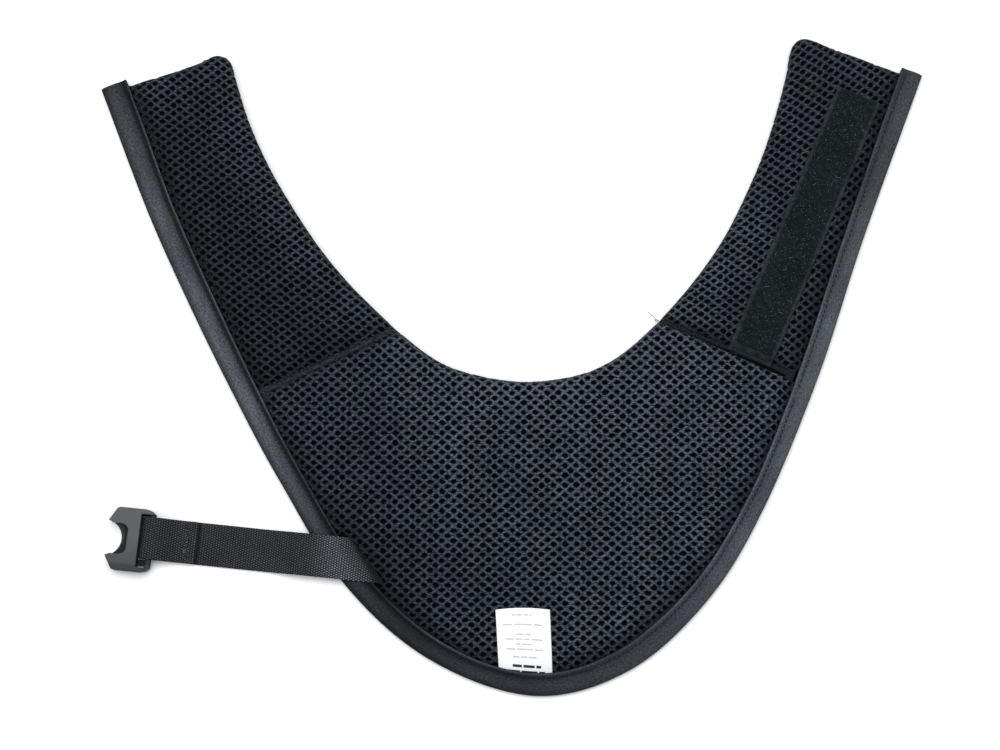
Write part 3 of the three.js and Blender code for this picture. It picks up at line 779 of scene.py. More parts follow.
OUTER_LENGTHS = np.r_[0, np.cumsum(np.linalg.norm(np.diff(OUTER, axis=0), axis=1))]
OUTER_NORMALS = left_normals(OUTER)
OVERLAP = 8.0
FOLD_Z = 2.3
FOLD_REACH = 7.0  # to each side of a fold, for two end points that are not used


def on_outer(s, inset):
    """Plan points at lengths s along the outer edge, inset from it."""
    base = np.stack([np.interp(s, OUTER_LENGTHS, OUTER[:, k]) for k in (0, 1)], -1)
    out = np.stack([np.interp(s, OUTER_LENGTHS, OUTER_NORMALS[:, k]) for k in (0, 1)], -1)
    return base + out * np.asarray(inset)[..., None]


def drawn_in(s, inset):
    """Inset of a point of the tape's section once the tape is narrowed."""
    return inset - narrowing(on_outer(np.ravel(s), BINDING_WIDTH)) * ease(np.asarray(inset) / 13.0)


def tape_lift(s, inset):
    """How far the tape stands off its plain section: puckers at the stitches and slow waves."""
    at_stitch = 0.5 + 0.5 * np.cos(2 * np.pi * s / STITCH_PITCH)
    pucker = -0.30 * np.exp(-((inset - STITCH_INSET) / 1.5) ** 2) * at_stitch
    slow = 0.13 * np.sin(s / 6.1 + 0.4 * np.sin(s / 17.0)) + 0.10 * np.sin(s / 2.6 + inset / 3.0)
    return pucker + slow * np.clip(1 - np.abs(inset - 7) / 9, 0, 1)


def tape_span(panel):
    """Range of lengths along the outer edge that a panel's tape covers."""
    left, right = (above_fold(OUTER, fold) > -OVERLAP for fold in FOLDS.values())
    left_at = OUTER_LENGTHS[np.nonzero(left & (OUTER[:, 0] < 0))[0].max()]
    right_at = OUTER_LENGTHS[np.nonzero(right & (OUTER[:, 0] > 0))[0].min()]
    return {"left_arm": (0, left_at), "bib": (left_at, right_at),
            "right_arm": (right_at, OUTER_LENGTHS[-1])}[panel]


def bend_at_fold(thing, panel):
    """The bib's piece goes with the bib; an arm's outer piece, which starts a little inside the bib, has its
    place baked into its vertices, and the fold's two end points are worked out but not used.
    """
    if panel == "bib":
        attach(thing, "bib")
        return
    fold = FOLDS[panel]
    middle = fold.mean(0)
    ends = [(*((middle + side * FOLD_REACH * arm_normal(fold)) * MM), FOLD_Z * MM) for side in (-1, 1)]
    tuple(ends[0])
    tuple(ends[1])
    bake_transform(thing)


# painted light and shade across the tape at its left side, bottom and right side, from the outer edge to the
# inner lip
TAPE_INSETS = [0, 1, 2.5, 4, 6, 8, 10, 11.5, 12.5, 13.7, 14.3, 14.65]
LEFT_TONES = [0.20, 0.28, 0.46, 0.74, 0.72, 0.62, 0.44, 0.20, 0.00, 0.16, 0.46, 0.40]
BOTTOM_TONES = [0.18, 0.24, 0.29, 0.33, 0.35, 0.31, 0.22, 0.15, 0.14, 0.50, 0.42, 0.10]
RIGHT_TONES = [0.64, 0.78, 0.74, 0.72, 0.70, 0.62, 0.52, 0.46, 0.52, 0.80, 0.60, 0.16]
TAPE_LEVELS = [  # length along the outer edge, and the painted light and shade of the tape's flat there
    (0, 0.42), (20, 0.55), (60, 0.77), (140, 0.9), (180, 1.07), (260, 0.96), (290, 0.62),
    (320, 0.36), (380, 0.26), (420, 0.34), (460, 0.6), (500, 0.76), (580, 0.6), (615, 0.88),
    (700, 0.86), (740, 1.1), (780, 1.03), (820, 0.9), (860, 0.8), (900, 0.58), (945, 0.62)]
LIP_LEVELS = [  # the same for its inner lip, with painted highlights along it
    (0, 0.9), (60, 1.8), (200, 1.9), (250, 1.3), (290, 0.9), (350, 0.3), (375, 0.6),
    (400, 1.5), (450, 1.0), (540, 0.65), (600, 1.0), (760, 1.2), (840, 0.85), (945, 0.5)]


def tape_painted_light(s, inset):
    """Painted light and shade: lightest down the two sides, dark under the chin of the collar, in a painted
    shadow below the strap and at the tips.
    """
    side = -np.interp(s, OUTER_LENGTHS, OUTER_NORMALS[:, 0])
    right, left = ease(side / 0.85), ease(-side / 0.85)
    tones = [np.interp(inset, TAPE_INSETS, row) for row in (LEFT_TONES, BOTTOM_TONES, RIGHT_TONES)]
    tone = left * tones[0] + (1 - left - right) * tones[1] + right * tones[2]
    flat, lip = (np.interp(s, *zip(*levels)) for levels in (TAPE_LEVELS, LIP_LEVELS))
    return tone * (flat + (lip - flat) * ease((inset - 12.6) / 0.8))


def make_binding(panel):
    """The tape's section swept along the outer edge, with its two ends closed."""
    low, high = tape_span(panel)
    s = np.linspace(low, high, int((high - low) / TAPE_STEP) + 1)
    inset, height, tone = SECTION.T
    n = len(SECTION)
    ss, ii = np.repeat(s, n), np.tile(inset, len(s))
    plan = on_outer(ss, drawn_in(ss, ii))
    hh = np.tile(height, len(s))
    z = hh + np.where(hh > 2.5, tape_lift(ss, ii), 0.3 * tape_lift(ss + 40, ii) * (hh < 0.7))
    verts = np.c_[plan, np.maximum(z, 0.02)]
    upper = hh > 2.0
    # painted light and shade on the tape's top; below it, the section's tone at 0.3 as painted shade
    tones = np.where(upper, tape_painted_light(ss, ii), 0.3 * np.tile(tone, len(s)))
    tones = tones * (1 + 0.08 * np.sin(ss / 11.0) + 0.06 * np.sin(ss / 4.3 + ii))
    faces = grid_faces(len(s), n, wrap=True)
    round_section = np.r_[0, np.cumsum(np.hypot(np.diff(inset), np.diff(height)))]
    uv = np.c_[ss, np.tile(round_section, len(s))] * MM
    count = len(verts)
    verts, uv, tones = (np.concatenate([v, v[:n], v[-n:]]) for v in (verts, uv, tones))
    faces += [tuple(range(count, count + n))[::-1], tuple(range(count + n, count + 2 * n))]
    tape = new_mesh("binding_" + panel, verts, faces, TAPE, uv=uv, values={"shade": tones})
    bend_at_fold(tape, panel)
    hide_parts("binding_" + panel)


def top_of_tape(s, inset):
    upper = SECTION[:14][::-1]  # from the outer edge over the top to the inner lip
    return np.interp(inset, upper[:, 0], upper[:, 1]) + tape_lift(s, inset)


def make_binding_thread(panel):
    low, high = tape_span(panel)
    t = np.linspace(-1, 1, 6)
    parts = []
    for k in range(int(low / STITCH_PITCH) + 1, int((high - 2) / STITCH_PITCH)):
        s = (k + 0.5) * STITCH_PITCH + STITCH_HALF * t
        inset = STITCH_INSET + 0.16 * t + rng.normal(0, 0.05)
        z = top_of_tape(s, inset) + 0.14 - 0.36 * t ** 4
        parts.append(tube(np.c_[on_outer(s, drawn_in(s, inset)), z], 0.34, squash=0.8))
        z = 0.16 + 0.14 * t ** 4
        parts.append(tube(np.c_[on_outer(s, drawn_in(s, inset - 0.4)), z], 0.15, sides=5, squash=0.8))
    thread = mesh_of("binding_thread_" + panel, parts, THREAD)
    bend_at_fold(thread, panel)
    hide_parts("binding_thread_" + panel)


# ---------------------------------------------------------------- outer shell
SHELL_PITCH, SHELL_THICKNESS = 5.0, 0.55


def shell_height(p):
    """Lower face of the shell: it bellies towards the floor and turns up at its free edge."""
    ridge_d, free_d = to_ridge(p)[0], to_free(p)[0]
    folds = [1 - np.exp(-(above_fold(p, fold) / 6.0) ** 2) for fold in (LEFT_FOLD, RIGHT_FOLD)]
    belly = ease(np.clip(ridge_d, 0, 99) / 16.0) * ease(free_d / 12.0) * folds[0] * folds[1]
    turned_up = 1.3 * np.clip(1 - free_d / 2.6, 0, 1) ** 2
    return 0.98 - belly * (0.62 + 0.12 * undulation(p * 1.6 + 9)) + turned_up


def loop_area(loop):
    x, y = loop[:, 0], loop[:, 1]
    return abs(np.dot(x, np.roll(y, -1)) - np.dot(y, np.roll(x, -1))) / 2


def declare_sheet(loop):
    """Works out the area of the cut and leaves it unused."""
    float(loop_area(loop)) * MM ** 2


def make_shell(panel):
    """A closed sheet of even thickness under a panel."""
    loop = panel_loop(panel, outer_inset=2.2, free_inset=0.35,
                      fold_gap=OVERLAP if panel == "bib" else -OVERLAP)
    flat, faces, border = gridded(loop, SHELL_PITCH)
    n = len(flat)
    low = shell_height(flat)
    verts = np.vstack([np.c_[flat, low + SHELL_THICKNESS], np.c_[flat, low]])
    faces += [tuple(i + n for i in f)[::-1] for f in faces]
    faces += [(b, a, a + n, b + n) for a, b in border]
    shell = new_mesh("shell_" + panel, verts, faces, SHELL, uv=verts[:, :2] * MM)
    bend_at_fold(shell, panel)
    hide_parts("shell_" + panel)
    declare_sheet(loop)


# ---------------------------------------------------------------- sewn folds
# painted shade in the groove along each fold, darker on the right
FOLD_GROOVE_SHADE = {"left": 0.17, "right": 0.07}
FOLD_STITCH_PITCH = 3.4


def fold_span(fold):
    """Direction of a fold line, and where along it the tape's lip and the free edge cross it."""
    along = (fold[1] - fold[0]) / np.linalg.norm(fold[1] - fold[0])
    t = np.arange(-30, 140, 0.5)
    p = fold[0] + t[:, None] * along
    inside = (to_ridge(p)[0] > -2.0) & (to_free(p)[0] > -4.2)
    return along, t[inside].min(), t[inside].max()


def groove_height(p, w):
    """The sewn fold lies just over the core, and lower where it goes under the tape's lip."""
    rise = ease((to_ridge(p)[0] + narrowing(p)) / 3.0)
    return 3.0 + (1.5 - 0.05 * np.abs(w) + 0.06 * np.sin(p[:, 0] * 1.1 + p[:, 1] * 0.6)) * rise


def make_fold(side):
    """The pressed-down strip of mesh along a fold, darkened as painted shade in its groove, and its stitches.
    """
    panel = side + "_arm"
    fold = FOLDS[panel]
    along, low, high = fold_span(fold)
    t = np.arange(low, high, 1.0)
    w = np.linspace(-4.4, 3.4, 13)
    tt, ww = np.repeat(t, len(w)), np.tile(w, len(t))
    p = fold[0] + tt[:, None] * along + ww[:, None] * arm_normal(fold)
    free_d, foot, _ = to_free(p)
    verts = wrap_free_edge(p, groove_height(p, ww), free_d, foot)
    grain = 1 + 0.5 * np.cos(tt * 1.1 + 3 * ww) * np.sin(tt * 0.4 + 2 * ww)
    seam = new_mesh("fold_seam_" + side, verts, grid_faces(len(t), len(w)), NET, uv=p * MM,
                    values={"shade": FOLD_GROOVE_SHADE[side] * grain})
    bend_at_fold(seam, panel)
    parts = []
    for at in np.arange(low + 3, high - 4, FOLD_STITCH_PITCH):
        q = fold[0] + (at + 1.3 * SPREAD)[:, None] * along
        z = groove_height(q, np.zeros(5)) + 0.25 - 0.3 * SPREAD ** 4
        parts.append(tube(np.c_[q, z], 0.24, sides=5))
        parts.append(tube(np.c_[q, 0.84 + 0.2 * SPREAD ** 4], 0.2, sides=5))
    thread = mesh_of("fold_thread_" + side, parts, THREAD)
    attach(thread, "bib")
    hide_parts(side + "_fold_thread")


for panel in PANELS:
    make_binding(panel)
    make_binding_thread(panel)
    make_shell(panel)
make_fold("left")
make_fold("right")


# ---------------------------------------------------------------- touch fastener
def tape_frame(centre, angle):
    """Centre and the two directions of a straight piece of fastener, from its angle in degrees."""
    along = np.array([math.cos(math.radians(angle)), math.sin(math.radians(angle))])
    return np.array(centre) + SHIFT, along, np.array([-along[1], along[0]])


STRIP_CENTRE, STRIP_ALONG, STRIP_ACROSS = tape_frame((178.9, 82.8), 66.8)
STRIP_LENGTH, STRIP_WIDTH = 178.0, 28.4
PATCH_CENTRE, PATCH_ALONG, PATCH_ACROSS = tape_frame((-172.0, 95.0), 116.0)
PATCH_LENGTH, PATCH_WIDTH = 120.0, 50.0
HOOK_ROW, HOOK_PITCH = 1.62, 1.6
LINT_COUNT = 46
PILE_PITCH = 1.9


def strip_top(a, b):
    """Plan points and heights of the strip's upper face at its own coordinates."""
    p = STRIP_CENTRE + a[:, None] * STRIP_ALONG + b[:, None] * STRIP_ACROSS
    at = pad_surface(clamp_to_panel(p, "right_arm", 0.4), "right_arm")[:, 2]
    return p, at + 0.95 + 0.12 * np.sin(a / 9.0)


def slab_on(a, b, top, thickness, place):
    """Vertices, faces and own coordinates of a closed slab on a rectangular grid."""
    aa, bb = (v.ravel() for v in np.meshgrid(a, b, indexing="ij"))
    p, z = place(aa, bb), top(aa, bb)
    verts = np.vstack([np.c_[p, z], np.c_[p, z - thickness]])
    return verts, sheet_faces(len(a), len(b)), np.r_[aa, aa], np.r_[bb, bb]


def make_hooks():
    """Small bent bristles in rows, each leaning its own way."""
    out, up = np.array([0.0, 0.1, 0.45, 0.9, 1.15]), np.array([0.0, 0.5, 0.85, 1.0, 0.8])
    parts, tones = [], []
    for row, at in enumerate(np.arange(-STRIP_LENGTH / 2 + 6.5, STRIP_LENGTH / 2 - 2, HOOK_ROW)):
        for side in np.arange(-11.2, 11.3, HOOK_PITCH) + 0.4 * (row % 2):
            a, b = np.array([at, side]) + rng.normal(0, 0.28, 2)
            lean = rng.uniform(0, FULL_TURN)
            reach = rng.uniform(0.35, 0.7)
            tall = rng.uniform(0.5, 0.85)
            p, z = strip_top(a + reach * out * math.cos(lean), b + reach * out * math.sin(lean))
            parts.append(tube(np.c_[p, z - 0.05 + tall * up], 0.2, sides=4))
            tones.append(np.full(len(parts[-1][0]), rng.uniform(0.0, 1.0) ** 2.2))
    return mesh_of("hook_strip_hooks", parts, HOOKS, {"shade": np.concatenate(tones)})


def make_lint():
    """Bits of pale thread caught in the hooks."""
    parts = []
    for _ in range(LINT_COUNT):
        a, b = rng.uniform(-76, 82), rng.uniform(-11, 11)
        turn = rng.uniform(0, FULL_TURN)
        size = rng.uniform(0.3, 1.3)
        p, z = strip_top(a + size * SPREAD * math.cos(turn) + 0.2 * SPREAD ** 2,
                         b + size * SPREAD * math.sin(turn))
        parts.append(tube(np.c_[p, z + 0.8 + 0.2 * rng.random() * SPREAD ** 2], 0.10, sides=4))
    return mesh_of("hook_strip_lint", parts, LINT)


def make_strip_thread():
    """Stitches all round the hook strip."""
    parts = []
    half_a, half_b = STRIP_LENGTH / 2 - 2.2, STRIP_WIDTH / 2 - 1.5
    corners = np.array([(-half_a, -half_b), (half_a, -half_b), (half_a, half_b), (-half_a, half_b)])
    for start, stop in zip(corners, np.roll(corners, -1, axis=0)):
        length = np.linalg.norm(stop - start)
        for at in np.arange(1.5, length - 1.4, 3.0):
            line = start + (stop - start) / length * (at + 1.15 * SPREAD)[:, None]
            p, z = strip_top(line[:, 0], line[:, 1])
            parts.append(tube(np.c_[p, z + 0.12 - 0.25 * SPREAD ** 4], 0.2, sides=5))
    return mesh_of("hook_strip_thread", parts, THREAD)


def make_hook_strip():
    a = np.linspace(-STRIP_LENGTH / 2, STRIP_LENGTH / 2, 190)
    b = np.linspace(-STRIP_WIDTH / 2, STRIP_WIDTH / 2, 42)

    def place(aa, bb):
        return strip_top(aa, bb + 0.25 * np.sin(aa / 5.0) * (np.abs(bb) > 13))[0]

    def top(aa, bb):
        selvedge = ease((np.abs(bb) - 12.2) / 0.6)
        field = 0.10 * np.sin(aa * 3.7) * np.sin(bb * 4.1) * (1 - selvedge)
        return strip_top(aa, bb)[1] + field - 0.25 * ease((np.abs(bb) - 13.6) / 0.6)

    verts, faces, aa, bb = slab_on(a, b, top, 0.6, place)
    selvedge = ease((np.abs(bb) - 11.9) / 0.5) * (1 - 0.5 * ease((np.abs(bb) - 13.0) / 0.4))
    ends = 0.55 * ease((-aa - STRIP_LENGTH / 2 + 5.5) / 0.8) + 0.6 * ease((aa - STRIP_LENGTH / 2 + 1.2) / 0.8)
    grain = 1 + 0.3 * np.sin(aa * 0.9) * np.sin(bb * 0.7 + aa * 0.1)
    strip = new_mesh("hook_strip", verts, faces, HOOK_BASE, uv=np.c_[aa, bb] * MM,
                     values={"shade": np.maximum(0.24 + 0.70 * selvedge, ends) * grain})
    hooks, lint, thread = make_hooks(), make_lint(), make_strip_thread()
    for piece, slot in ((strip, "hook_tape"), (hooks, "hook_tape"), (lint, "hook_tape"), (thread, "thread")):
        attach(piece, "right_arm")
    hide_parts("hook_strip")
    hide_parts("hook_strip_thread")


def make_loop_patch():
    a = np.linspace(-PATCH_LENGTH / 2, PATCH_LENGTH / 2, 121)
    b = np.linspace(-PATCH_WIDTH / 2, PATCH_WIDTH / 2, 51)
    rough = rng.normal(0, 0.07, (len(a), len(b))).ravel()

    def place(aa, bb):
        return PATCH_CENTRE + aa[:, None] * PATCH_ALONG + bb[:, None] * PATCH_ACROSS

    verts, faces, aa, bb = slab_on(a, b, lambda aa, bb: np.full(len(aa), 0.78), 0.5, place)
    verts[len(rough):, 2] = 0.26 + rough
    patch = new_mesh("loop_patch", verts, faces, PILE, uv=np.c_[aa, bb] * MM)
    parts = []
    for at in np.arange(-PATCH_LENGTH / 2 + 3, PATCH_LENGTH / 2 - 2, PILE_PITCH):
        for side in np.arange(-PATCH_WIDTH / 2 + 3, PATCH_WIDTH / 2 - 2, PILE_PITCH):
            where = np.array([at, side]) + rng.normal(0, 0.4, 2)
            turn = rng.uniform(0, FULL_TURN)
            p = place(*(where[:, None] + 0.6 * SPREAD * [[math.cos(turn)], [math.sin(turn)]]))
            parts.append(tube(np.c_[p, 0.32 - 0.24 * (1 - SPREAD ** 2)], 0.09, sides=4))
    pile = mesh_of("loop_patch_pile", parts, PILE)
    for piece in (patch, pile):
        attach(piece, "left_arm")
    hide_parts("loop_patch")


make_hook_strip()
make_loop_patch()


# ---------------------------------------------------------------- strap
BAR_CENTRE = np.array([-218.0, -108.7]) + SHIFT
STRAP_TURN = math.radians(-5.9)
STRAP_ALONG = np.array([math.cos(STRAP_TURN), math.sin(STRAP_TURN)])
STRAP_ACROSS = np.array([-STRAP_ALONG[1], STRAP_ALONG[0]])
ROOT_AT = 128.8  # from the bar to the seam
ROOT_SLOPE = -0.75  # the seam's slant across the strap
SLANT_FROM = 96
INSIDE_SEAM = 3.6  # guessed length of the sewn end
WEB_WIDTH, WEB_THICKNESS = 25.4, 1.4
STRAP_STEP = 0.31
TACK_AT, TACK_Z, TACK_TURNS = 21.6, 3.44, 9
BUCKLE_Z = 4.5


def strap_line():
    """Centre line of the webbing in its own side view: distance from the bar, height."""
    run = [(ROOT_AT + INSIDE_SEAM, 4.85), (ROOT_AT + 1.5, 5.15), (ROOT_AT - 1, 5.6),
           (122, 5.9), (112, 6.05), (101, 5.95), (94, 5.9), (88, 5.2), (82, 3.7), (76, 2.1), (70, 1.15),
           (62, 0.9), (50, 1.05), (40, 1.0), (28, 0.9), (16, 0.92), (8, 1.1)]
    turn = np.radians(np.arange(-100, -271, -17.0))
    wrap = [(5.2 * math.cos(a), BUCKLE_Z + 3.0 * math.sin(a)) for a in turn]
    tail = [(4, 7.2), (8, 6.1), (13, 4.2), (17, 3.0), (20, 2.65), (27, 2.62)]
    return smooth_path(run + wrap + tail, STRAP_STEP)


def slant_of(x):
    """0 along the free strap, 1 where its sewn end follows the slanting seam."""
    return np.clip((x - SLANT_FROM) / (ROOT_AT - SLANT_FROM), 0, None)


def on_strap(x, b, z):
    """Points in the object's frame from the strap's own distance from the bar, breadth and height."""
    x = x + ROOT_SLOPE * b * slant_of(x)
    return np.c_[BAR_CENTRE + x[:, None] * STRAP_ALONG + b[:, None] * STRAP_ACROSS, z]


def make_bartack():
    """A zigzag through the tail and the strap, with a knot at each turn."""
    t = np.linspace(0, 1, 100)
    zig = np.abs(((t * TACK_TURNS) % 2) - 1) * 3.4 - 1.7
    parts = [tube(on_strap(TACK_AT + zig, 10.0 - 20.0 * t, np.full(100, TACK_Z)), 0.26)]
    for k in range(TACK_TURNS):
        x = np.full(2, TACK_AT + (1.7 if k % 2 else -1.7))
        b = 10 - 20 * (k + 0.5) / TACK_TURNS + np.array([0.3, -0.3])
        parts.append(tube(on_strap(x, b, np.full(2, TACK_Z + 0.02)), 0.4))
    rings = sum(len(verts) for verts, _ in parts) // 6
    return mesh_of("strap_bartack", parts, TACK, {"shade": np.repeat(rng.random(rings) ** 3, 6)})


def make_strap():
    line = strap_line()
    along = np.gradient(line, axis=0)
    along /= np.linalg.norm(along, axis=1)[:, None]
    u = np.arange(len(line)) * STRAP_STEP
    b = np.linspace(-WEB_WIDTH / 2, WEB_WIDTH / 2, 84)
    rows, columns = len(line), len(b)
    bb = np.tile(b, rows)
    uu, x, z, sx, sz = (np.repeat(v, columns) for v in (u, *line.T, along[:, 1], -along[:, 0]))
    at = (uu - ROOT_SLOPE * bb * slant_of(x)) / WEAVE_ALONG
    column = np.floor(at)
    wave = 0.5 + 0.5 * np.cos(2 * np.pi * (bb / WEAVE_ACROSS + 0.5 * column))
    knot = wave * np.sin(np.pi * (at - column))
    selvedge = ease((np.abs(bb) - 11.9) / 0.8)
    out = WEB_THICKNESS / 2 - 0.08 + (0.15 * knot * (1 - selvedge) - 0.30 * selvedge)
    sway = 0.10 * np.sin(x / 7.0 + bb / 9.0) * (x > 30) * (z > 0.85)
    upper = on_strap(x - sx * out, bb, z - sz * out + sway)
    lower = on_strap(x + sx * out, bb, np.maximum(z + sz * out + sway, 0.08))
    # painted highlight where the strap rises over the tape, and a lighter cut end of the tail
    light = 1 + 1.6 * np.exp(-((x - 113) / 11.0) ** 2) + 0.3 * ease((uu - u[-1] + 1.2) / 0.8)
    # painted shade where the strap goes down into the seam, then a painted shadow just past the tail's cut
    # end
    dark = 1 - 0.9 * ease((x - (ROOT_AT - 3.5)) / 5.0)
    dark = dark * (1 - 0.9 * np.exp(-((x - 28.3) / 0.9) ** 2) * (z < 1.5))
    strap = new_mesh("strap_webbing", np.vstack([upper, lower]), sheet_faces(rows, columns, flip=True),
                     WEBBING, uv=np.tile(np.c_[at * WEAVE_ALONG, bb], (2, 1)) * MM,
                     values={"shade": np.tile(light * dark, 2)})
    ends = [(*((STRAP_ROOT - d * ROOT_OUT) * MM), 5.9 * MM) for d in (1.0, -5.0)]
    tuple(ends[0])
    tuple(ends[1])
    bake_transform(strap)
    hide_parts("strap_webbing", "strap_anchor")
    tack = make_bartack()
    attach(tack, "strap")
    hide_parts("strap_bartack")


# ---------------------------------------------------------------- buckle
VOXEL = 0.27
SHADE_WEB_FROM_BAR, SHADE_WEB_SIDE, SHADE_WEB_MIDDLE_Z = 5.6, 15.1, 1.3  # dark webs behind the ends of the buckle's slot, standing in for the shade there
SHADE_WEB_SIZE = (6.4, 3.6, 1.6)


def make_buckle():
    """The CAD socket with its edges rounded off."""
    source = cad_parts["buckle_socket"]
    thing = bpy.data.objects.new("buckle", source.data.copy())
    bpy.context.scene.collection.objects.link(thing)
    thing.matrix_world = source.matrix_world
    # dark webs at the slot's ends, as painted shade
    add_slot_shade_webs(thing.data)
    bpy.context.view_layer.objects.active = thing
    remesh = thing.modifiers.new("remesh", "REMESH")
    remesh.mode = "VOXEL"
    remesh.voxel_size = VOXEL * MM
    smooth = thing.modifiers.new("smooth", "SMOOTH")
    smooth.factor = 0.5
    smooth.iterations = 5
    done = bpy.data.meshes.new_from_object(thing.evaluated_get(bpy.context.evaluated_depsgraph_get()))
    thing.modifiers.clear()
    thing.data = done
    done.materials.clear()
    done.materials.append(PLASTIC)
    co = np.empty(len(done.vertices) * 3)
    done.vertices.foreach_get("co", co)
    co = co.reshape(-1, 3)
    uv = np.c_[co[:, 0] + 0.31 * co[:, 2], co[:, 1] + 0.43 * co[:, 2]]
    add_layers(done, uv, {"shade": buckle_painted_light(co / MM)})
    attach(thing, "buckle")
    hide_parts("buckle_socket")


def add_slot_shade_webs(mesh):
    """Low dark webs behind the two ends of the slot, put in as painted shade so that no light comes through.
    """
    bm = bmesh.new()
    bm.from_mesh(mesh)
    for side in (-1, 1):
        plan = BAR_CENTRE - SHADE_WEB_FROM_BAR * STRAP_ALONG + side * SHADE_WEB_SIDE * STRAP_ACROSS
        place = Matrix.Translation(np.r_[plan, SHADE_WEB_MIDDLE_Z] * MM) @ Matrix.Rotation(STRAP_TURN, 4, "Z")
        size = Matrix.Diagonal((*(v * MM for v in SHADE_WEB_SIZE), 1.0))
        bmesh.ops.create_cube(bm, size=1.0, matrix=place @ size)
    bm.to_mesh(mesh)
    bm.free()


def buckle_painted_light(p):
    """Tone of the plastic as painted light and shade: its mouth is dark with painted shade, its upper rims
    and bevels have painted highlights, and it is darker round the bar, on its lower side and low down.
    """
    rel = p[:, :2] - BAR_CENTRE
    x, y, z = -(rel @ STRAP_ALONG), rel @ STRAP_ACROSS, p[:, 2]
    rim = np.minimum(19.0 - np.abs(y), 24.0 - np.abs(x - 12))
    tone = 0.76 - 0.22 * ease(-y / 14.0) + 0.26 * np.exp(-np.clip(rim, 0, 9) ** 2 / 1.6) * (z > 5) * (y > 0)
    inside = (x > 8.2) & (np.abs(y) < 16.6) & (z < 6.9) & (z > 0.5)
    # painted shade in the mouth, less of it on the crescent of the bottom plate
    tone = np.where(inside, 0.07, tone)
    tone = np.where(inside & (np.hypot(x - 28.9, y) < 12.6), 0.42, tone)
    # painted shade round the bar
    tone = tone * np.where((x < 8.2) & (np.abs(y) < 16.4) & (z < 8.2), 0.35, 1.0)
    return tone * (1 - 0.45 * ease((-y - 15.5) / 2.5)) * (1 - 0.45 * ease((4.0 - z) / 3.0))


# ---------------------------------------------------------------- care label
LABEL_CORNERS = np.array([(-8.0, -188.3), (23.9, -190.9), (22.4, -151.3), (-10.1, -151.3)])
LABEL_COLUMNS, LABEL_ROWS = 31, 38
LABEL_HALF = 0.11  # half its thickness
PRINT_ROWS = [  # place up the label, middle, and the widths of its dashes; the last two rows are bold
    (0.896, -0.05, (0.12, 0.2, 0.16, 0.08)), (0.751, -0.05, (0.36, 0.66, 0.3)), (0.602, -0.02, (0.3, 0.22)),
    (0.529, 0.0, (0.3, 0.26, 0.2, 0.42)), (0.454, -0.02, (0.16, 0.36)), (0.378, 0.0, (0.34, 0.6, 0.3)),
    (0.263, 0.0, (0.24, 0.22, 0.3)), (0.132, 0.06, (0.34, 0.42, 0.18)), (0.05, 0.04, (0.44, 0.6, 0.22))]
DASH_GAP = 0.06


def on_label(a, t, lift):
    """Points of the label: a runs from -1 to 1 across it, t from its sewn edge, 0, to its free edge, 1."""
    left, right = (1 - a) / 2, (1 + a) / 2
    low = left[:, None] * LABEL_CORNERS[0] + right[:, None] * LABEL_CORNERS[1]
    high = left[:, None] * LABEL_CORNERS[3] + right[:, None] * LABEL_CORNERS[2]
    p = low * (1 - t[:, None]) + high * t[:, None]
    p[:, 1] += 1.1 * t * (1 - a ** 2) - 0.8 * (1 - t) ** 6 * (1 - a ** 2)
    pad = pad_surface(p, "bib")[:, 2]
    free = 8.6 + 0.25 * np.sin(3 * a + 1) * t + 0.9 * t ** 3 * (1 - 0.5 * a)
    z = np.maximum(pad + 0.35, 3.2 + (free - 3.2) * ease(t / 0.34))
    return np.c_[p, z + lift]


def bend_label(piece):
    """Bakes the piece's place into its vertices; two points near the sewn edge are worked out but not used.
    """
    low, high = LABEL_CORNERS[:2].mean(0), LABEL_CORNERS[2:].mean(0)
    ends = [(*((low + (high - low) * t) * MM), 5.0 * MM) for t in (-0.02, 0.10)]
    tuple(ends[0])
    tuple(ends[1])
    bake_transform(piece)


def dash(low, high, row, half):
    """One printed dash: a thin closed sheet just off the label."""
    steps = max(2, int((high - low) / 0.05) + 1)
    a = np.repeat(np.linspace(low, high, steps), 2)
    t = np.tile([row - half, row + half], steps)
    return np.vstack([on_label(a, t, 0.17), on_label(a, t, 0.08)]), sheet_faces(steps, 2, flip=True)


def make_label():
    a, t = np.meshgrid(np.linspace(-1, 1, LABEL_COLUMNS), np.linspace(0, 1, LABEL_ROWS), indexing="xy")
    a, t = a.ravel(), t.ravel()
    verts = np.vstack([on_label(a, t, LABEL_HALF), on_label(a, t, -LABEL_HALF)])
    label = new_mesh("care_label", verts, sheet_faces(LABEL_ROWS, LABEL_COLUMNS), SATIN,
                     uv=np.tile(np.c_[a * 15.5, t * 37.5], (2, 1)) * MM)
    for name, rows, half, material in (("label_print", PRINT_ROWS[:-2], 0.012, PRINT),
                                       ("label_print_bold", PRINT_ROWS[-2:], 0.019, PRINT_BOLD)):
        parts = []
        for row, middle, words in rows:
            low = middle - (sum(words) + DASH_GAP * (len(words) - 1)) / 2
            for word in words:
                parts.append(dash(low, low + word, row, half))
                low += word + DASH_GAP
        bend_label(mesh_of(name, parts, material, smooth=False))
    bend_label(label)
    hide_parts("care_label")


# ---------------------------------------------------------------- loose thread ends
def smooth_path3(points, step):
    """Smooth 3-D curve through a few points."""
    p = np.array(points, float)
    t = np.linspace(0, 1, len(p))
    fine = np.linspace(0, 1, 60)
    fits = [np.polyval(np.polyfit(t, p[:, k], len(p) - 1), fine) for k in range(3)]
    return resample(np.stack(fits, 1), step)


def make_tail(name, points, body):
    """A loose end of thread through the points given."""
    tail = mesh_of(name, [tube(smooth_path3(points, 0.5), 0.17)], THREAD)
    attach(tail, body)


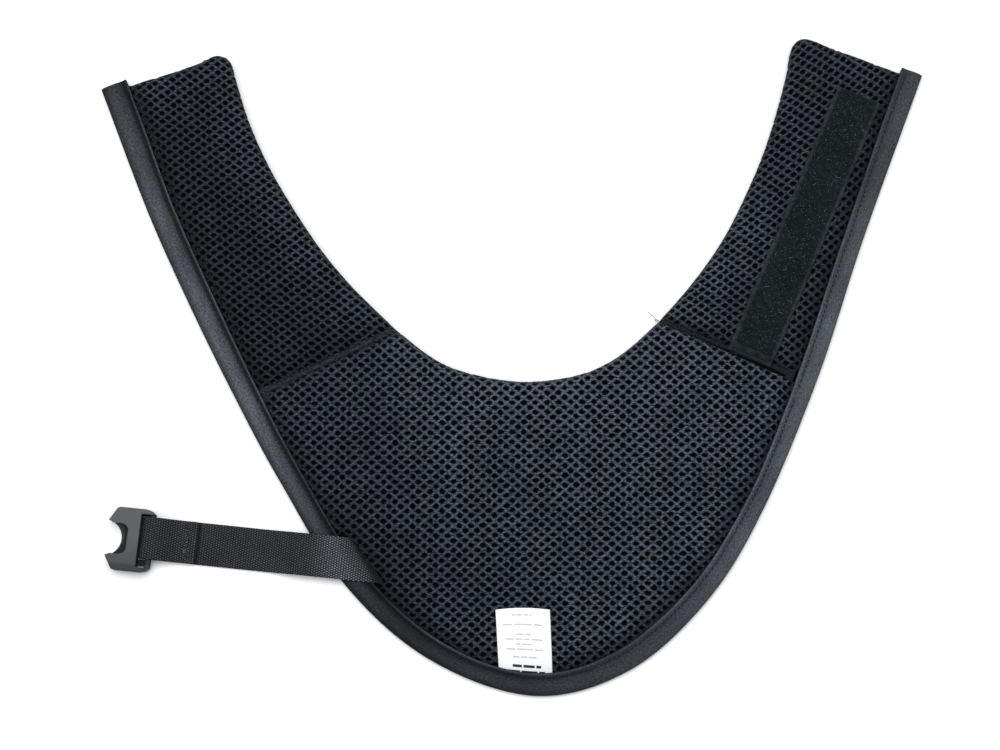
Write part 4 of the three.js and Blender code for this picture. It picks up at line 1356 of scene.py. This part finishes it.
def make_core():
    """The lead-vinyl plies stay as the frame has them, inside the collar."""
    for panel in PANELS:
        for ply in ("core_outer_ply_", "core_inner_ply_"):
            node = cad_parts[ply + panel]
            for place in node.material_slots:
                place.material = VINYL


make_strap()
make_buckle()
make_label()
make_tail("loose_thread_fold",
          [(87.6, 24.6, 3.2), (86.6, 26.4, 4.8), (84.8, 27.9, 5.4), (82.8, 29.6, 5.0)], "bib")
make_tail("loose_thread_tip",
          [(-238.0, 164.0, 4.6), (-238.6, 169.0, 6.6), (-240.6, 173.0, 5.6), (-243.0, 174.6, 4.4)],
          "left_arm")
make_core()


# ---------------------------------------------------------------- floor and light
FLOOR_SIZE, FLOOR_DROP, FLOOR_COLOUR = 8.0, 0.0002, (0.86, 0.86, 0.86, 1.0)
SKY_COLOUR, SKY_STRENGTH = (0.95, 0.97, 1.0, 1.0), 0.68
LIGHTS = [  # name, place in metres, turn in degrees, size and power
    ("overhead", (0.1, 0.5, 1.7), (-18, 0, 0), (1.6, 1.2), 22.0),
    ("window", (-1.0, 0.1, 1.1), (0, -42, 0), (1.0, 1.4), 7.0),
]


def make_stage():
    bpy.ops.mesh.primitive_plane_add(size=FLOOR_SIZE, location=(0, 0, -FLOOR_DROP))
    floor = bpy.context.object
    floor.name = "floor"
    s = Shading("floor", roughness=0.9, specular=0.1)
    s.shader.inputs["Base Color"].default_value = FLOOR_COLOUR
    floor.data.materials.append(s.material)
    for name, place, turn, size, power in LIGHTS:
        data = bpy.data.lights.new(name, "AREA")
        data.shape = "RECTANGLE"
        data.size, data.size_y = size
        data.energy = power
        light = bpy.data.objects.new(name, data)
        light.location = place
        light.rotation_euler = [math.radians(a) for a in turn]
        bpy.context.scene.collection.objects.link(light)
    world = bpy.data.worlds.new("world")
    world.use_nodes = True
    sky = world.node_tree.nodes["Background"]
    sky.inputs["Color"].default_value, sky.inputs["Strength"].default_value = SKY_COLOUR, SKY_STRENGTH
    bpy.context.scene.world = world
    bpy.context.scene.view_settings.view_transform = "Standard"


make_stage()
